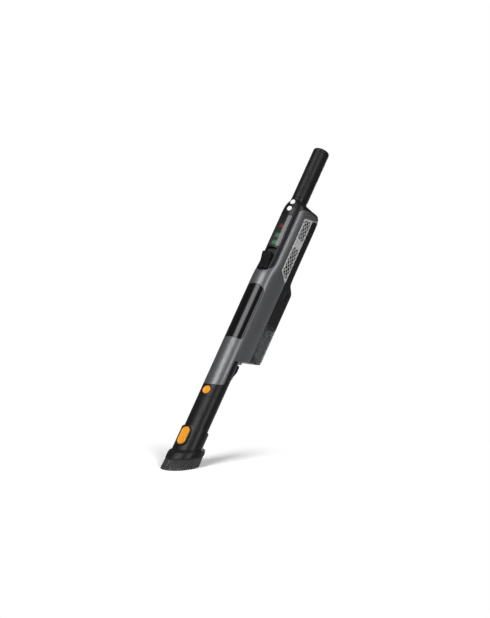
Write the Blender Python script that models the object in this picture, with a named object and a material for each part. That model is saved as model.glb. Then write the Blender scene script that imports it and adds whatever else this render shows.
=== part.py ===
"""Handheld vacuum: upright on its brush tips, +Z along the tube towards the handle, front (display, buttons)
towards -Y, dust bin towards +Y. Metres. The origin is below the middle of the object's box."""

import math

import bmesh
import bpy
from mathutils import Vector

# ---------------------------------------------------------------- driving sizes (from the tube axis)
TUBE_AXIS_Y = -0.0145      # the tube axis, in the row frame
GAP = 0.0003               # clearance between touching pieces
WALL = 0.0022              # moulded wall
SHELL_GAP = WALL + GAP     # inset of a piece that fits inside the housing

GRIP_R = 0.0154
GRIP_Z = (0.584, 0.6828)
HANDLE_TOP_Z = 0.691

BODY_HALF_W = 0.028
BODY_BACK_Y = 0.045
BIN_BACK_Y = 0.059
SEAM_Y = 0.0253            # front shell / rear pieces
NECK_SEAM_Y = -0.008       # grey front of the neck / black rear of the neck
NECK_OVAL = (-0.0022, 0.024, 0.018)   # centre y, half width, half depth
BIN_HEAD_Z = (0.341, 0.4357)
REAR_COVER_Z = 0.436
PANEL_HALF_W = 0.0195
COLLAR_Z = 0.5745          # above this the front panel goes all round the handle root
DISPLAY_HALF_W = 0.0138
DISPLAY_Z = (0.477, 0.5435)
POCKET_HALF_W = 0.0112
POCKET_Z = (0.4265, 0.4735)
BADGE_HALF_W = 0.0212
BADGE_Z = (0.282, 0.3945)

BUTTON_R = 0.005
BUTTONS = {"power_button": (0.571, -0.0171), "mode_button": (0.5565, -0.0181)}   # z, outer y

FAN_Y = 0.014              # motor and fan axis
FAN_R = 0.0198
MOTOR_R = 0.019
CELL_R, CELL_LENGTH, CELL_Y = 0.0091, 0.065, 0.0025

LEVER_Y, LEVER_Z = 0.0200, 0.2190          # door lever pivot
HINGE_Y, HINGE_Z = 0.0565, 0.2712          # bin door hinge
HINGE_R, HINGE_PIN_R = 0.0019, 0.0008

SLEEVE_OVAL = (-0.0022, 0.0275, 0.021)
SLEEVE_TOP_Z = 0.097
SLEEVE_WALL = 0.0026
SKIRT_OVAL = (0.0, 0.032, 0.030)
NOZZLE_TIP_OVAL = (-0.0022, 0.0195, 0.0125)

# ---------------------------------------------------------------- slanted planes: z = base + slope * y
STEP_PLANE = (0.24405, 0.45)          # underside of body and bin
TOP_SEAM_PLANE = (0.54775, 0.38)      # top of the grilles and of the rear cover
GRILLE_FOOT_PLANE = (0.4403, -0.70)   # slanted foot of the grilles
NOZZLE_SEAM_PLANE = (0.196, 0.64)     # neck meets nozzle
SKIRT_TOP_PLANE = (0.062, 0.71)       # sleeve meets brush skirt
SKIRT_PLANE = (0.043, 0.77)           # skirt meets bristles
TIP_PLANE = (0.02376, 0.80)           # bristle tips
TIP_CUT_PLANE = (0.034, 0.80)         # mouth of the crevice nozzle

ARC_END = math.radians(72)
ARC_STEPS, REST_STEPS = 6, 8

COLOURS = {
    "black_plastic": ((0.018, 0.018, 0.020), 0.42, 0.0),
    "grip_plastic": ((0.020, 0.020, 0.022), 0.50, 0.0),
    "gloss_black": ((0.010, 0.010, 0.012), 0.10, 0.0),
    "grey_shell": ((0.115, 0.117, 0.122), 0.36, 0.35),
    "silver_grille": ((0.62, 0.62, 0.61), 0.38, 0.25),
    "smoke_lens": ((0.09, 0.08, 0.08), 0.08, 0.0),
    "clear_plastic": ((0.62, 0.64, 0.65), 0.06, 0.0),
    "orange_plastic": ((0.86, 0.40, 0.03), 0.35, 0.0),
    "white_plastic": ((0.86, 0.86, 0.85), 0.35, 0.0),
    "bristle": ((0.03, 0.03, 0.032), 0.7, 0.0),
    "rubber": ((0.022, 0.022, 0.022), 0.8, 0.0),
    "foam": ((0.06, 0.06, 0.065), 0.95, 0.0),
    "filter_paper": ((0.80, 0.79, 0.74), 0.9, 0.0),
    "steel": ((0.60, 0.60, 0.61), 0.28, 1.0),
    "copper": ((0.72, 0.36, 0.18), 0.35, 1.0),
    "circuit_board": ((0.03, 0.16, 0.07), 0.45, 0.0),
    "cell_wrap": ((0.05, 0.22, 0.42), 0.35, 0.0),
    "led_red": ((0.75, 0.05, 0.04), 0.3, 0.0),
    "led_green": ((0.06, 0.70, 0.20), 0.3, 0.0),
}


# ---------------------------------------------------------------- scene helpers
def clear_scene():
    for old in list(bpy.data.objects):
        bpy.data.objects.remove(old)


def material(slot):
    found = bpy.data.materials.get(slot)
    if found:
        return found
    colour, roughness, metallic = COLOURS[slot]
    made = bpy.data.materials.new(slot)
    made.use_nodes = True
    shader = made.node_tree.nodes["Principled BSDF"]
    shader.inputs["Base Color"].default_value = (*colour, 1.0)
    shader.inputs["Roughness"].default_value = roughness
    shader.inputs["Metallic"].default_value = metallic
    return made


def empty(name, location, parent=None):
    made = bpy.data.objects.new(name, None)
    bpy.context.scene.collection.objects.link(made)
    made.location = location
    made.parent = parent
    return made


def add(name, bm, slot, parent, origin=(0, 0, 0), smooth=True):
    """An object from a bmesh in tube coordinates, parented to an empty that stands at origin."""
    bmesh.ops.remove_doubles(bm, verts=bm.verts, dist=1e-6)
    bmesh.ops.recalc_face_normals(bm, faces=bm.faces)
    bmesh.ops.translate(bm, verts=bm.verts, vec=-Vector(origin))
    mesh = bpy.data.meshes.new(name)
    bm.to_mesh(mesh)
    bm.free()
    if smooth:
        mesh.shade_smooth()
        mesh.set_sharp_from_angle(angle=math.radians(35))
    made = bpy.data.objects.new(name, mesh)
    bpy.context.scene.collection.objects.link(made)
    if slot:
        mesh.materials.append(material(slot))
    made.parent = parent
    return made


def hide(obj):
    obj.hide_render = True
    obj.display_type = "WIRE"
    return obj


def boolean(obj, operand, operation="DIFFERENCE"):
    """A Boolean on obj. Its operand is a guide object, kept as wire."""
    modifier = obj.modifiers.new(operation.lower() + "_" + operand.name, "BOOLEAN")
    modifier.operation = operation
    modifier.object = hide(operand)
    return obj


# ---------------------------------------------------------------- outlines, seen from above
def mirrored(half):
    """Closed outline from its right half, which runs from the front centre to the back centre."""
    return half + [(-x, y) for x, y in reversed(half[1:-1])]


def arc(centre_y, a, b, start, end, steps):
    """Points on an oval from angle start to end, measured from the front centre."""
    angles = [start + (end - start) * i / steps for i in range(steps + 1)]
    return [(a * math.sin(t), centre_y - b * math.cos(t)) for t in angles]


def oval(centre_y, a, b, inset=0.0):
    a, b = a - inset, b - inset
    front = arc(centre_y, a, b, 0, ARC_END, ARC_STEPS)
    return mirrored(front + arc(centre_y, a, b, ARC_END, math.pi, REST_STEPS)[1:])


def housing(centre_y, a, b, width, side_y, back_y, corner, inset=0.0):
    """Oval front, straight sides at +-width from side_y back, rounded rear corners."""
    a, b, width, back_y, corner = a - inset, b - inset, width - inset, back_y - inset, corner - inset
    front = arc(centre_y, a, b, 0, ARC_END, ARC_STEPS)
    start, end = Vector(front[-1]), Vector((width, side_y))
    rise = (width - start.x) * b * math.sin(ARC_END) / (a * math.cos(ARC_END))
    bend = Vector((width, min(start.y + rise, side_y)))
    side = [tuple(start * (1 - t) ** 2 + bend * 2 * t * (1 - t) + end * t * t) for t in (1 / 3, 2 / 3, 1)]
    turns = [math.radians(30 * i) for i in range(4)]
    rear = [(width - corner * (1 - math.cos(t)), back_y - corner * (1 - math.sin(t))) for t in turns]
    return mirrored(front + side + rear + [(0.0, back_y)])


def on_plane(outline, base, slope=0.0):
    return [(x, y, base + slope * y) for x, y in outline]


# ---------------------------------------------------------------- solids
def ring_faces(bm, low, high):
    for i in range(len(low)):
        j = (i + 1) % len(low)
        bm.faces.new((low[i], low[j], high[j], high[i]))


def loft(rings):
    """Closed solid through rings of points, first to last."""
    bm = bmesh.new()
    loops = [[bm.verts.new(p) for p in ring] for ring in rings]
    for low, high in zip(loops, loops[1:]):
        ring_faces(bm, low, high)
    bm.faces.new(list(reversed(loops[0])))
    bm.faces.new(loops[-1])
    return bm


def tube(outer, inner):
    """Closed wall between two stacks of rings, open at both ends."""
    bm = bmesh.new()
    skins = [[[bm.verts.new(p) for p in ring] for ring in stack] for stack in (outer, inner)]
    for skin in skins:
        for low, high in zip(skin, skin[1:]):
            ring_faces(bm, low, high)
    for end in (0, -1):
        ring_faces(bm, skins[0][end], skins[1][end])
    return bm


def prism(points, axis, low, high):
    """A flat outline pushed along an axis: points are (y, z) for X, (x, z) for Y and (x, y) for Z."""
    place = {
        "X": lambda p, d: (d, p[0], p[1]),
        "Y": lambda p, d: (p[0], d, p[1]),
        "Z": lambda p, d: (p[0], p[1], d),
    }[axis]
    return loft([[place(p, d) for p in points] for d in (low, high)])


def box(x, y, z):
    return prism([(x[0], y[0]), (x[1], y[0]), (x[1], y[1]), (x[0], y[1])], "Z", z[0], z[1])


def circle(x, y, radius, steps=24):
    turn = 2 * math.pi / steps
    angles = [turn * (i + 0.5) for i in range(steps)]
    return [(x + radius * math.cos(t), y + radius * math.sin(t)) for t in angles]


def turned(x, y, profile, steps=24):
    """Closed solid of revolution about a line along Z; profile is a closed list of (radius, z)."""
    bm = bmesh.new()
    solid = min(r for r, _ in profile) <= 0
    loops = []
    for r, z in [p for p in profile if p[0] > 0]:
        loops.append([bm.verts.new((*p, z)) for p in circle(x, y, r, steps)])
    for low, high in zip(loops, loops[1:]):
        ring_faces(bm, low, high)
    if solid:
        bm.faces.new(list(reversed(loops[0])))
        bm.faces.new(loops[-1])
    else:
        ring_faces(bm, loops[-1], loops[0])
    return bm


def rounded_rectangle(half_w, low, high, radius, steps=4):
    """Outline of (x, z) points."""
    corners = [(half_w, low, 270), (half_w, high, 0), (-half_w, high, 90), (-half_w, low, 180)]
    points = []
    for x, z, first in corners:
        cx = x - math.copysign(radius, x)
        cz = z + radius if z == low else z - radius
        turns = [math.radians(first + 90 * i / steps) for i in range(steps + 1)]
        points += [(cx + radius * math.cos(t), cz + radius * math.sin(t)) for t in turns]
    return points


def slab(name, y, low, high, reach=0.06):
    """Guide: everything between two heights or slanted planes, for y in a range."""
    low, high = [(p, 0.0) if isinstance(p, float) else p for p in (low, high)]
    points = [(y[0], low[0] + low[1] * y[0]), (y[1], low[0] + low[1] * y[1]),
              (y[1], high[0] + high[1] * y[1]), (y[0], high[0] + high[1] * y[0])]
    return add(name, prism(points, "X", -reach, reach), None, FRAME)


def raised(plane, by):
    return (plane[0] + by, plane[1])


# ---------------------------------------------------------------- the housing's outer form
def envelope(inset=0.0):
    """Neck, body, flare, shoulder and handle root as one solid; inset gives its inner surfaces."""
    lift = inset                      # the step's inner face is one wall higher
    neck = oval(*NECK_OVAL, inset)
    low = housing(*NECK_OVAL, BODY_HALF_W, 0.016, BIN_BACK_Y, 0.008, inset)
    stations = [
        (0.432, (0.003, 0.026, 0.0215, BODY_HALF_W, 0.014, 0.046, 0.008)),
        (0.450, (0.0085, 0.0275, 0.026, BODY_HALF_W, 0.013, BODY_BACK_Y, 0.008)),
        (0.545, (0.0085, 0.0275, 0.026, BODY_HALF_W, 0.013, BODY_BACK_Y, 0.008)),
        (0.556, (0.007, 0.0265, 0.0243, 0.0272, 0.012, 0.0445, 0.009)),
        (0.562, (0.005, 0.0245, 0.022, 0.0252, 0.012, 0.043, 0.010)),
        (0.566, (0.003, 0.0215, 0.0197, 0.022, 0.010, 0.039, 0.012)),
        (0.5695, (0.001, 0.0185, 0.0174, 0.0188, 0.008, 0.030, 0.013)),
    ]
    rings = [on_plane(neck, *raised(NOZZLE_SEAM_PLANE, -lift)), on_plane(neck, *raised(STEP_PLANE, lift)),
             on_plane(low, *raised(STEP_PLANE, lift)), on_plane(low, 0.415)]
    rings += [on_plane(housing(*shape, inset), z - lift * (z > 0.55)) for z, shape in stations]
    rings.append(on_plane(oval(0.0006, 0.0167, 0.0167, inset), 0.5735))
    rings.append(on_plane(oval(0.0, GRIP_R, GRIP_R, inset), 0.5837 + lift))
    return loft(rings)


def guide(name, bm):
    return add(name, bm, None, FRAME)


def skin(name, slot, parent, zone, wall=WALL):
    """Part of the housing wall: the envelope within a zone, less its inside."""
    made = add(name, envelope(), slot, parent)
    boolean(made, zone, "INTERSECT")
    boolean(made, guide(name + "_inside", envelope(wall)))
    return made


# ---------------------------------------------------------------- grip, cells, front panel
def make_grip():
    outer = (GRIP_R, GRIP_Z[0]), (GRIP_R, GRIP_Z[1])
    inner = (GRIP_R - WALL, GRIP_Z[1]), (GRIP_R - WALL, GRIP_Z[0])
    add("grip_tube", turned(0, 0, [*outer, *inner], 32), "grip_plastic", BODY)
    edge = 0.0032
    z = HANDLE_TOP_Z
    turns = [math.radians(22.5 * i) for i in range(5)]
    rim = [(GRIP_R - edge * (1 - math.cos(t)), z - 0.0006 - edge * (1 - math.sin(t))) for t in turns]
    plug_r = GRIP_R - WALL - GAP
    profile = [(plug_r, z - 0.013), (plug_r, GRIP_Z[1] + GAP), (GRIP_R, GRIP_Z[1] + GAP), *rim,
               (GRIP_R - edge - 0.001, z), (0, z)]
    add("grip_end_cap", turned(0, 0, profile, 32), "grip_plastic", BODY)


def make_cells():
    base = 0.5425
    for i, name in enumerate(("battery_cell_lower", "battery_cell_upper")):
        low = base + i * (CELL_LENGTH + 0.0015)
        profile = [(CELL_R, low), (CELL_R, low + CELL_LENGTH - 0.0012), (0.0040, low + CELL_LENGTH - 0.0012),
                   (0.0040, low + CELL_LENGTH), (0, low)]
        add(name, turned(0, CELL_Y, profile, 20), "cell_wrap", BODY)
    holder = [(0.0106, 0.5285), (0.0106, 0.5495), (0.0096, 0.5495), (0.0096, 0.5405), (0.0030, 0.5405),
              (0.0030, 0.5285)]
    add("cell_holder", turned(0, CELL_Y, holder, 20), "black_plastic", BODY)


def panel_zone(name, gap):
    """Guide: the front panel's area, a U in front view, joined to a ring right round the handle root."""
    half, foot, curve = PANEL_HALF_W - gap, 0.423 + gap, 0.020
    turns = [math.pi * i / 13 for i in range(14)]
    bottom = [(-half * math.cos(t), foot + curve * (1 - math.sin(t))) for t in turns]
    zone = guide(name, prism(bottom + [(half, 0.600), (-half, 0.600)], "Y", -0.045, -0.0015 - gap))
    return boolean(zone, slab(name + "_collar", (-0.04, 0.05), COLLAR_Z + gap, 0.605), "UNION")


def make_front_panel():
    panel = skin("front_panel", "black_plastic", BODY, panel_zone("panel_area", GAP))
    window = rounded_rectangle(DISPLAY_HALF_W + GAP, DISPLAY_Z[0] - GAP, DISPLAY_Z[1] + GAP, 0.004)
    boolean(panel, guide("display_hole", prism(window, "Y", -0.04, 0.0)))
    pocket = rounded_rectangle(POCKET_HALF_W, *POCKET_Z, 0.003)
    boolean(panel, guide("slider_hole", prism(pocket, "Y", -0.04, 0.0)))
    for name, (z, _) in BUTTONS.items():
        rim = [(x, z + up) for x, up in circle(0, 0, BUTTON_R + GAP, 16)]
        boolean(panel, guide(name + "_hole", prism(rim, "Y", -0.04, -0.012)))


def make_display():
    window = rounded_rectangle(DISPLAY_HALF_W, *DISPLAY_Z, 0.004)
    skin("display_lens", "smoke_lens", BODY, guide("lens_area", prism(window, "Y", -0.04, 0.0)), 0.0016)
    board = box((-0.011, 0.011), (-0.0100, -0.0088), (0.480, 0.540))
    add("display_board", board, "circuit_board", BODY, smooth=False)
    for name, z, slot in (("status_led_red", 0.519, "led_red"), ("charge_led_upper", 0.499, "led_green"),
                          ("charge_led_lower", 0.4835, "led_green")):
        lamp = box((-0.0025, 0.0025), (-0.0113, -0.0103), (z - 0.0015, z + 0.0015))
        add(name, lamp, slot, BODY, smooth=False)


def make_buttons():
    back_y = -0.0136
    for name, (z, front_y) in BUTTONS.items():
        joint = empty(name + "_axis", (0, front_y, z), FRAME)
        edge = 0.0008
        face = circle(0, 0, BUTTON_R - edge, 20)
        side = circle(0, 0, BUTTON_R, 20)
        rings = [[(x, y, z + up) for x, up in ring] for y, ring in
                 ((front_y, face), (front_y + edge, side), (back_y, side))]
        add(name, loft(rings), "white_plastic", joint, (0, front_y, z))
    make_button_board()


def make_button_board():
    """Board behind the two buttons, with a push switch under each."""
    plate = box((-0.0065, 0.0065), (-0.0095, -0.0083), (0.5505, 0.5775))
    board = add("button_board", plate, "circuit_board", BODY, smooth=False)
    for name, (z, _) in BUTTONS.items():
        switch = box((-0.003, 0.003), (-0.0121, -0.0090), (z - 0.003, z + 0.003))
        boolean(board, guide(name.replace("button", "switch"), switch), "UNION")


def make_slider():
    joint = empty("slider_axis", (0, 0, 0.442), FRAME)
    origin = (0, 0, 0.442)
    wedge = [(-0.0175, 0.4285), (-0.0262, 0.4575), (-0.0252, 0.4600), (-0.0134, 0.4600), (-0.0134, 0.4285)]
    add("release_slider", prism(wedge, "X", -0.0093, 0.0093), "black_plastic", joint, origin)
    fork = [(-0.0118, -0.0104), (0.0118, -0.0104), (0.0232, 0.0030), (0.0232, 0.0310), (0.0212, 0.0310),
            (0.0212, 0.0040), (0.0110, -0.0085), (-0.0110, -0.0085), (-0.0212, 0.0040), (-0.0212, 0.0310),
            (-0.0232, 0.0310), (-0.0232, 0.0030)]
    made = add("latch_fork", prism(fork, "Z", 0.4385, 0.4460), "black_plastic", joint, origin)
    stem = box((-0.0024, 0.0024), (-0.0131, -0.0095), (0.4400, 0.4450))
    boolean(made, guide("fork_stem", stem), "UNION")
    for side in (-1, 1):
        hook = box(sorted((side * 0.0213, side * 0.0231)), (0.0280, 0.0302), (0.4306, 0.4440))
        boolean(made, guide(f"fork_hook_{side + 1}", hook), "UNION")
    tray = add("slider_tray", box((-0.0114, 0.0114), (-0.0122, -0.0109), (0.4245, 0.4755)), "black_plastic", BODY)
    boolean(tray, guide("tray_shelf", box((-0.0040, 0.0040), (-0.0120, -0.0062), (0.4725, 0.4745))), "UNION")
    boolean(tray, guide("tray_slot", box((-0.0030, 0.0030), (-0.02, -0.0107), (0.4375, 0.4590))))
    add("slider_spring", coil(0, -0.0082, 0.0020, 0.00035, 0.4465, 0.4720, 8), "steel", joint, origin)


def coil(x, y, radius, wire, low, high, turns, steps=10, sides=5):
    """A helical spring as one closed tube."""
    count = turns * steps
    rings = []
    for i in range(count + 1):
        t = 2 * math.pi * i / steps
        centre = Vector((x + radius * math.cos(t), y + radius * math.sin(t),
                         low + wire + (high - low - 2 * wire) * i / count))
        out = Vector((math.cos(t), math.sin(t), 0))
        corners = [2 * math.pi * k / sides for k in range(sides)]
        rings.append([centre + out * wire * math.cos(c) + Vector((0, 0, wire * math.sin(c))) for c in corners])
    return loft(rings)


# ---------------------------------------------------------------- shells
def grille_outline(gap, reach_back=0.0):
    """(y, z) outline of a side grille: slanted top, point at the lower rear."""
    front, back = 0.0033 + gap, SEAM_Y - GAP + reach_back
    low, high = raised(GRILLE_FOOT_PLANE, 1.5 * gap), raised(TOP_SEAM_PLANE, -gap)
    return [(y, base + slope * y) for (base, slope), y in ((low, front), (low, back), (high, back), (high, front))]


def make_front_shell():
    zone = slab("front_area", (-0.05, SEAM_Y - GAP), (0.150, 0.0), (0.62, 0.0))
    boolean(zone, slab("shoulder_area", (SEAM_Y - 0.006, 0.07), TOP_SEAM_PLANE, 0.62), "UNION")
    shell = skin("front_shell", "grey_shell", BODY, zone)
    boolean(shell, slab("neck_rear_area", (NECK_SEAM_Y, 0.04), 0.15, raised(STEP_PLANE, -0.0006)))
    boolean(shell, panel_zone("panel_hole", 0.0))
    for side in (-1, 1):
        outline = prism(grille_outline(0.0, 0.004), "X", *sorted((side * 0.015, side * 0.05)))
        boolean(shell, guide(f"grille_hole_{side + 1}", outline))
    recess = guide("badge_recess", prism(badge_outline(0.0), "Y", -0.05, -0.003))
    boolean(recess, guide("badge_floor", envelope(0.0012)))
    boolean(shell, recess)


def badge_outline(gap):
    """(x, z) outline: round top corners, straight foot with small corners."""
    half, low, high = BADGE_HALF_W - gap, BADGE_Z[0] + gap, BADGE_Z[1] - gap
    top = [math.radians(15 * i) for i in range(7)]
    arch, depth = half * 0.75, 0.012
    right = [(half - arch * (1 - math.cos(t)), high - depth * (1 - math.sin(t))) for t in top]
    foot = [(half - 0.004, low), (half - 0.0012, low + 0.0012), (half, low + 0.004)]
    left = [(-x, z) for x, z in reversed(foot + right)]
    return foot + right + left


def make_badge():
    zone = guide("badge_area", prism(badge_outline(GAP), "Y", -0.05, -0.003))
    skin("badge_plate", "gloss_black", BODY, zone, 0.0009)


def make_grilles():
    for side, name in ((1, "grille_right"), (-1, "grille_left")):
        reach = sorted((side * 0.015, side * 0.05))
        zone = guide(name + "_area", prism(grille_outline(GAP), "X", *reach))
        grille = skin(name, "silver_grille", BODY, zone)
        for k, (y, z) in enumerate(vent_places()):
            hole = prism([(y - 0.0036, z), (y, z - 0.0040), (y + 0.0036, z), (y, z + 0.0040)], "X", *reach)
            boolean(grille, guide(f"{name}_vent_{k}", hole))
        pad_x = sorted((side * 0.0205, side * 0.0236))
        pad = box(pad_x, (0.0085, 0.0245), (0.4625, 0.5440))
        add(name.replace("grille", "exhaust_foam"), pad, "foam", BODY, smooth=False)


def vent_places():
    """Centres of the diamond vents, in two fields with a plain band between."""
    columns = (0.0095, 0.0190)
    rows = [0.448 + 0.0105 * i for i in range(5)] + [0.5185 + 0.0105 * i for i in range(3)]
    return [(y, z) for z in rows for y in columns]


def make_rear_cover():
    zone = slab("rear_area", (SEAM_Y, 0.08), REAR_COVER_Z, raised(TOP_SEAM_PLANE, -GAP))
    cover = skin("rear_cover", "black_plastic", BODY, zone)
    port = [(x, 0.532 + up) for x, up in circle(0, 0, 0.0048, 16)]
    boolean(cover, guide("port_hole", prism(port, "Y", 0.030, 0.06)))
    for k, (x, z) in enumerate(cover_screws()):
        seat = [(x + dx, z + up) for dx, up in circle(0, 0, 0.0021, 12)]
        boolean(cover, guide(f"screw_hole_{k}", prism(seat, "Y", 0.030, 0.06)))
        head = [(x + dx, z + up) for dx, up in circle(0, 0, 0.0018, 12)]
        add(f"cover_screw_{k + 1}", prism(head, "Y", 0.0362, 0.0442), "steel", BODY)


def cover_screws():
    return [(-0.016, 0.449), (0.016, 0.548)]


def make_socket():
    rim, bore, pin = [[(x, 0.532 + up) for x, up in circle(0, 0, r, 16)] for r in (0.0045, 0.0028, 0.0008)]
    socket = add("charge_socket", prism(rim, "Y", 0.0365, 0.0448), "black_plastic", BODY)
    boolean(socket, guide("socket_bore", prism(bore, "Y", 0.0390, 0.06)))
    boolean(socket, guide("socket_pin", prism(pin, "Y", 0.0380, 0.0440)), "UNION")


def make_neck_rear():
    low, high = raised(NOZZLE_SEAM_PLANE, 0.0), raised(STEP_PLANE, -0.0009)
    rings = [on_plane(oval(*NECK_OVAL), *plane) for plane in (low, high)]
    holes = [on_plane(oval(*NECK_OVAL, WALL), *plane) for plane in (raised(low, -0.002), raised(high, 0.002))]
    neck = add("neck_rear", loft(rings), "black_plastic", BODY)
    boolean(neck, guide("neck_bore", loft(holes)))
    boolean(neck, slab("neck_front_area", (-0.05, NECK_SEAM_Y + GAP), 0.10, 0.35))
    for side in (-1, 1):
        ear = box(sorted((side * 0.0062, side * 0.0088)), (0.0140, 0.0228), (0.2155, 0.2225))
        boolean(neck, guide(f"lever_ear_{side + 1}", ear), "UNION")
    bore = [(LEVER_Y + y, LEVER_Z + z) for y, z in circle(0, 0, 0.0013, 12)]
    boolean(neck, guide("ear_bore", prism(bore, "X", -0.02, 0.02)))


# ---------------------------------------------------------------- air path inside the body
def make_inlet_duct():
    """Oval duct from the neck that bends back into the bin."""
    straight_top, bend_r, end_y = 0.268, 0.022, 0.0248
    start_y = -0.0018
    stations = [((start_y, z), 0.0) for z in (0.205, straight_top)]
    for i in range(1, 7):
        t = math.radians(15 * i)
        stations.append(((start_y + bend_r * (1 - math.cos(t)), straight_top + bend_r * math.sin(t)), t))
    stations.append(((end_y, straight_top + bend_r), math.radians(90)))
    skins = []
    for half_w, half_d in ((0.0140, 0.0115), (0.0124, 0.0099)):
        stack = []
        for (y, z), t in stations:
            outline = circle(0, 0, 1.0, 20)
            stack.append([(half_w * c, y + half_d * s * math.cos(t), z - half_d * s * math.sin(t))
                          for c, s in outline])
        skins.append(stack)
    add("inlet_duct", tube(*skins), "black_plastic", BODY)


def make_motor():
    x, y = 0, FAN_Y
    can = [(MOTOR_R, 0.4620), (MOTOR_R, 0.5040), (0.0042, 0.5040), (0.0042, 0.5028), (MOTOR_R - 0.0012, 0.5028),
           (MOTOR_R - 0.0012, 0.4620)]
    add("motor_can", turned(x, y, can), "steel", BODY)
    magnet = [(0.0174, 0.4680), (0.0174, 0.4970), (0.0142, 0.4970), (0.0142, 0.4680)]
    add("motor_magnet", turned(x, y, magnet), "black_plastic", BODY)
    ring = [(0.0212, 0.4840), (0.0212, 0.4900), (0.0193, 0.4900), (0.0193, 0.4840)]
    mount = add("motor_mount_ring", turned(x, y, ring), "rubber", BODY)
    for side in (-1, 1):
        gap = box(sorted((side * 0.0200, side * 0.03)), (0.0, 0.030), (0.48, 0.495))
        boolean(mount, guide(f"ring_flat_{side + 1}", gap))
    for name, low in (("bearing_upper", 0.4985), ("bearing_lower", 0.4635)):
        race = [(0.0040, low), (0.0040, low + 0.0035), (0.0019, low + 0.0035), (0.0019, low)]
        add(name, turned(x, y, race, 16), "steel", BODY)
    make_bulkheads()


def make_bulkheads():
    for name, low, high, bore in (("fan_bulkhead", 0.4580, 0.4605, 0.0052), ("motor_bulkhead", 0.5065, 0.5090, 0.0)):
        plate = add(name, envelope(SHELL_GAP), "black_plastic", BODY)
        boolean(plate, slab(name + "_area", (-0.0055, 0.06), low, high), "INTERSECT")
        if bore:
            boolean(plate, guide(name + "_bore", turned(0, FAN_Y, [(bore, low - 0.01), (bore, high + 0.01), (0, 0)])))
            continue
        for side in (-1, 1):
            notch = box(sorted((side * 0.0200, side * 0.03)), (0.0080, 0.0250), (low - 0.01, high + 0.01))
            boolean(plate, guide(f"{name}_notch_{side + 1}", notch))


def make_fan():
    joint = empty("fan_axis", (0, FAN_Y, 0.45), FRAME)
    origin = (0, FAN_Y, 0.45)
    shaft = [(0.0015, 0.4450), (0.0015, 0.5055), (0, 0.4450)]
    add("motor_shaft", turned(0, FAN_Y, shaft, 12), "steel", joint, origin)
    core = [(0.0132, 0.4700), (0.0132, 0.4950), (0.0018, 0.4950), (0.0018, 0.4700)]
    add("motor_rotor", turned(0, FAN_Y, core), "copper", joint, origin)
    plate = [(0.0045, 0.4445), (0.0055, 0.4530), (FAN_R, 0.4545), (FAN_R, 0.4560), (0.0018, 0.4560),
             (0.0018, 0.4445)]
    wheel = add("impeller", turned(0, FAN_Y, plate), "black_plastic", joint, origin)
    blade_count = 9
    for k in range(blade_count):
        blade = guide(f"blade_{k}", impeller_blade(2 * math.pi * k / blade_count))
        boolean(wheel, blade, "UNION")


def impeller_blade(turn, steps=4):
    """One backward-curved blade, from near the hub to the rim."""
    middle = []
    for i in range(steps + 1):
        share = i / steps
        r = 0.0070 + (FAN_R - 0.0012 - 0.0070) * share
        t = turn - 0.9 * share
        middle.append((r * math.cos(t), FAN_Y + r * math.sin(t), t))
    half = 0.0005
    outline = [(x - half * math.sin(t), y + half * math.cos(t)) for x, y, t in middle]
    outline += [(x + half * math.sin(t), y - half * math.cos(t)) for x, y, t in reversed(middle)]
    return prism(outline, "Z", 0.4450, 0.4550)


def make_control_board():
    add("control_board", box((-0.019, 0.019), (0.0100, 0.0116), (0.345, 0.415)), "circuit_board", BODY, smooth=False)


# ---------------------------------------------------------------- dust bin
def make_bin():
    joint = empty("bin_axis", (0, SEAM_Y, 0.34), FRAME)
    origin = (0, SEAM_Y, 0.34)
    make_bin_head(joint, origin)
    make_dust_cup(joint, origin)
    make_filters(joint, origin)
    make_door(joint)
    make_flap(joint)


def hollow(name, slot, parent, origin, low, high, cavity_low, cavity_high):
    """A box-like part of the bin: outer form between two levels, less a cavity one wall inside it."""
    made = add(name, envelope(), slot, parent, origin)
    made.location = (0, 0, 0)
    boolean(made, slab(name + "_area", (SEAM_Y, 0.08), low, high), "INTERSECT")
    cavity = guide(name + "_cavity", envelope(WALL))
    boolean(cavity, slab(name + "_inner", (SEAM_Y + WALL, 0.08), cavity_low, cavity_high), "INTERSECT")
    return boolean(made, cavity)


def make_bin_head(joint, origin):
    low, high = BIN_HEAD_Z
    head = hollow("bin_head", "black_plastic", joint, origin, low + GAP, high, low - 0.01, high - WALL)
    outlet = guide("outlet_hole", box((-0.014, 0.014), (0.0305, 0.0405), (high - 0.01, high + 0.01)))
    boolean(head, outlet)
    for side in (-1, 1):
        slot = box(sorted((side * 0.0204, side * 0.0238)), (0.0266, 0.0306), (high - 0.004, high + 0.01))
        boolean(head, guide(f"hook_slot_{side + 1}", slot))
        notch = [(0.0380, 0.399), (0.0420, 0.397), (0.0450, 0.401), (0.0440, 0.414), (0.0400, 0.416)]
        grip = prism(notch, "X", *sorted((side * 0.0268, side * 0.04)))
        boolean(head, guide(f"finger_notch_{side + 1}", grip))


def make_dust_cup(joint, origin):
    floor = raised(STEP_PLANE, 0.0028)
    cup = hollow("dust_cup", "clear_plastic", joint, origin, floor, BIN_HEAD_Z[0], raised(floor, -0.01), 0.36)
    inlet = guide("cup_inlet", box((-0.0125, 0.0125), (0.020, 0.030), (0.2795, 0.3005)))
    boolean(cup, inlet)
    swing_room = slab("hinge_room", (HINGE_Y - 0.0025, 0.08), 0.20, raised(STEP_PLANE, 0.0048))
    boolean(cup, swing_room)
    for side in (-1, 1):
        ear = box(sorted((side * 0.0184, side * 0.0215)), (HINGE_Y - HINGE_R, 0.0584), (0.2695, 0.2775))
        boolean(cup, guide(f"hinge_ear_{side + 1}", ear), "UNION")
    boolean(cup, guide("ear_bore_cup", hinge_rod(HINGE_PIN_R + GAP, 0.0214)))


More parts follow.
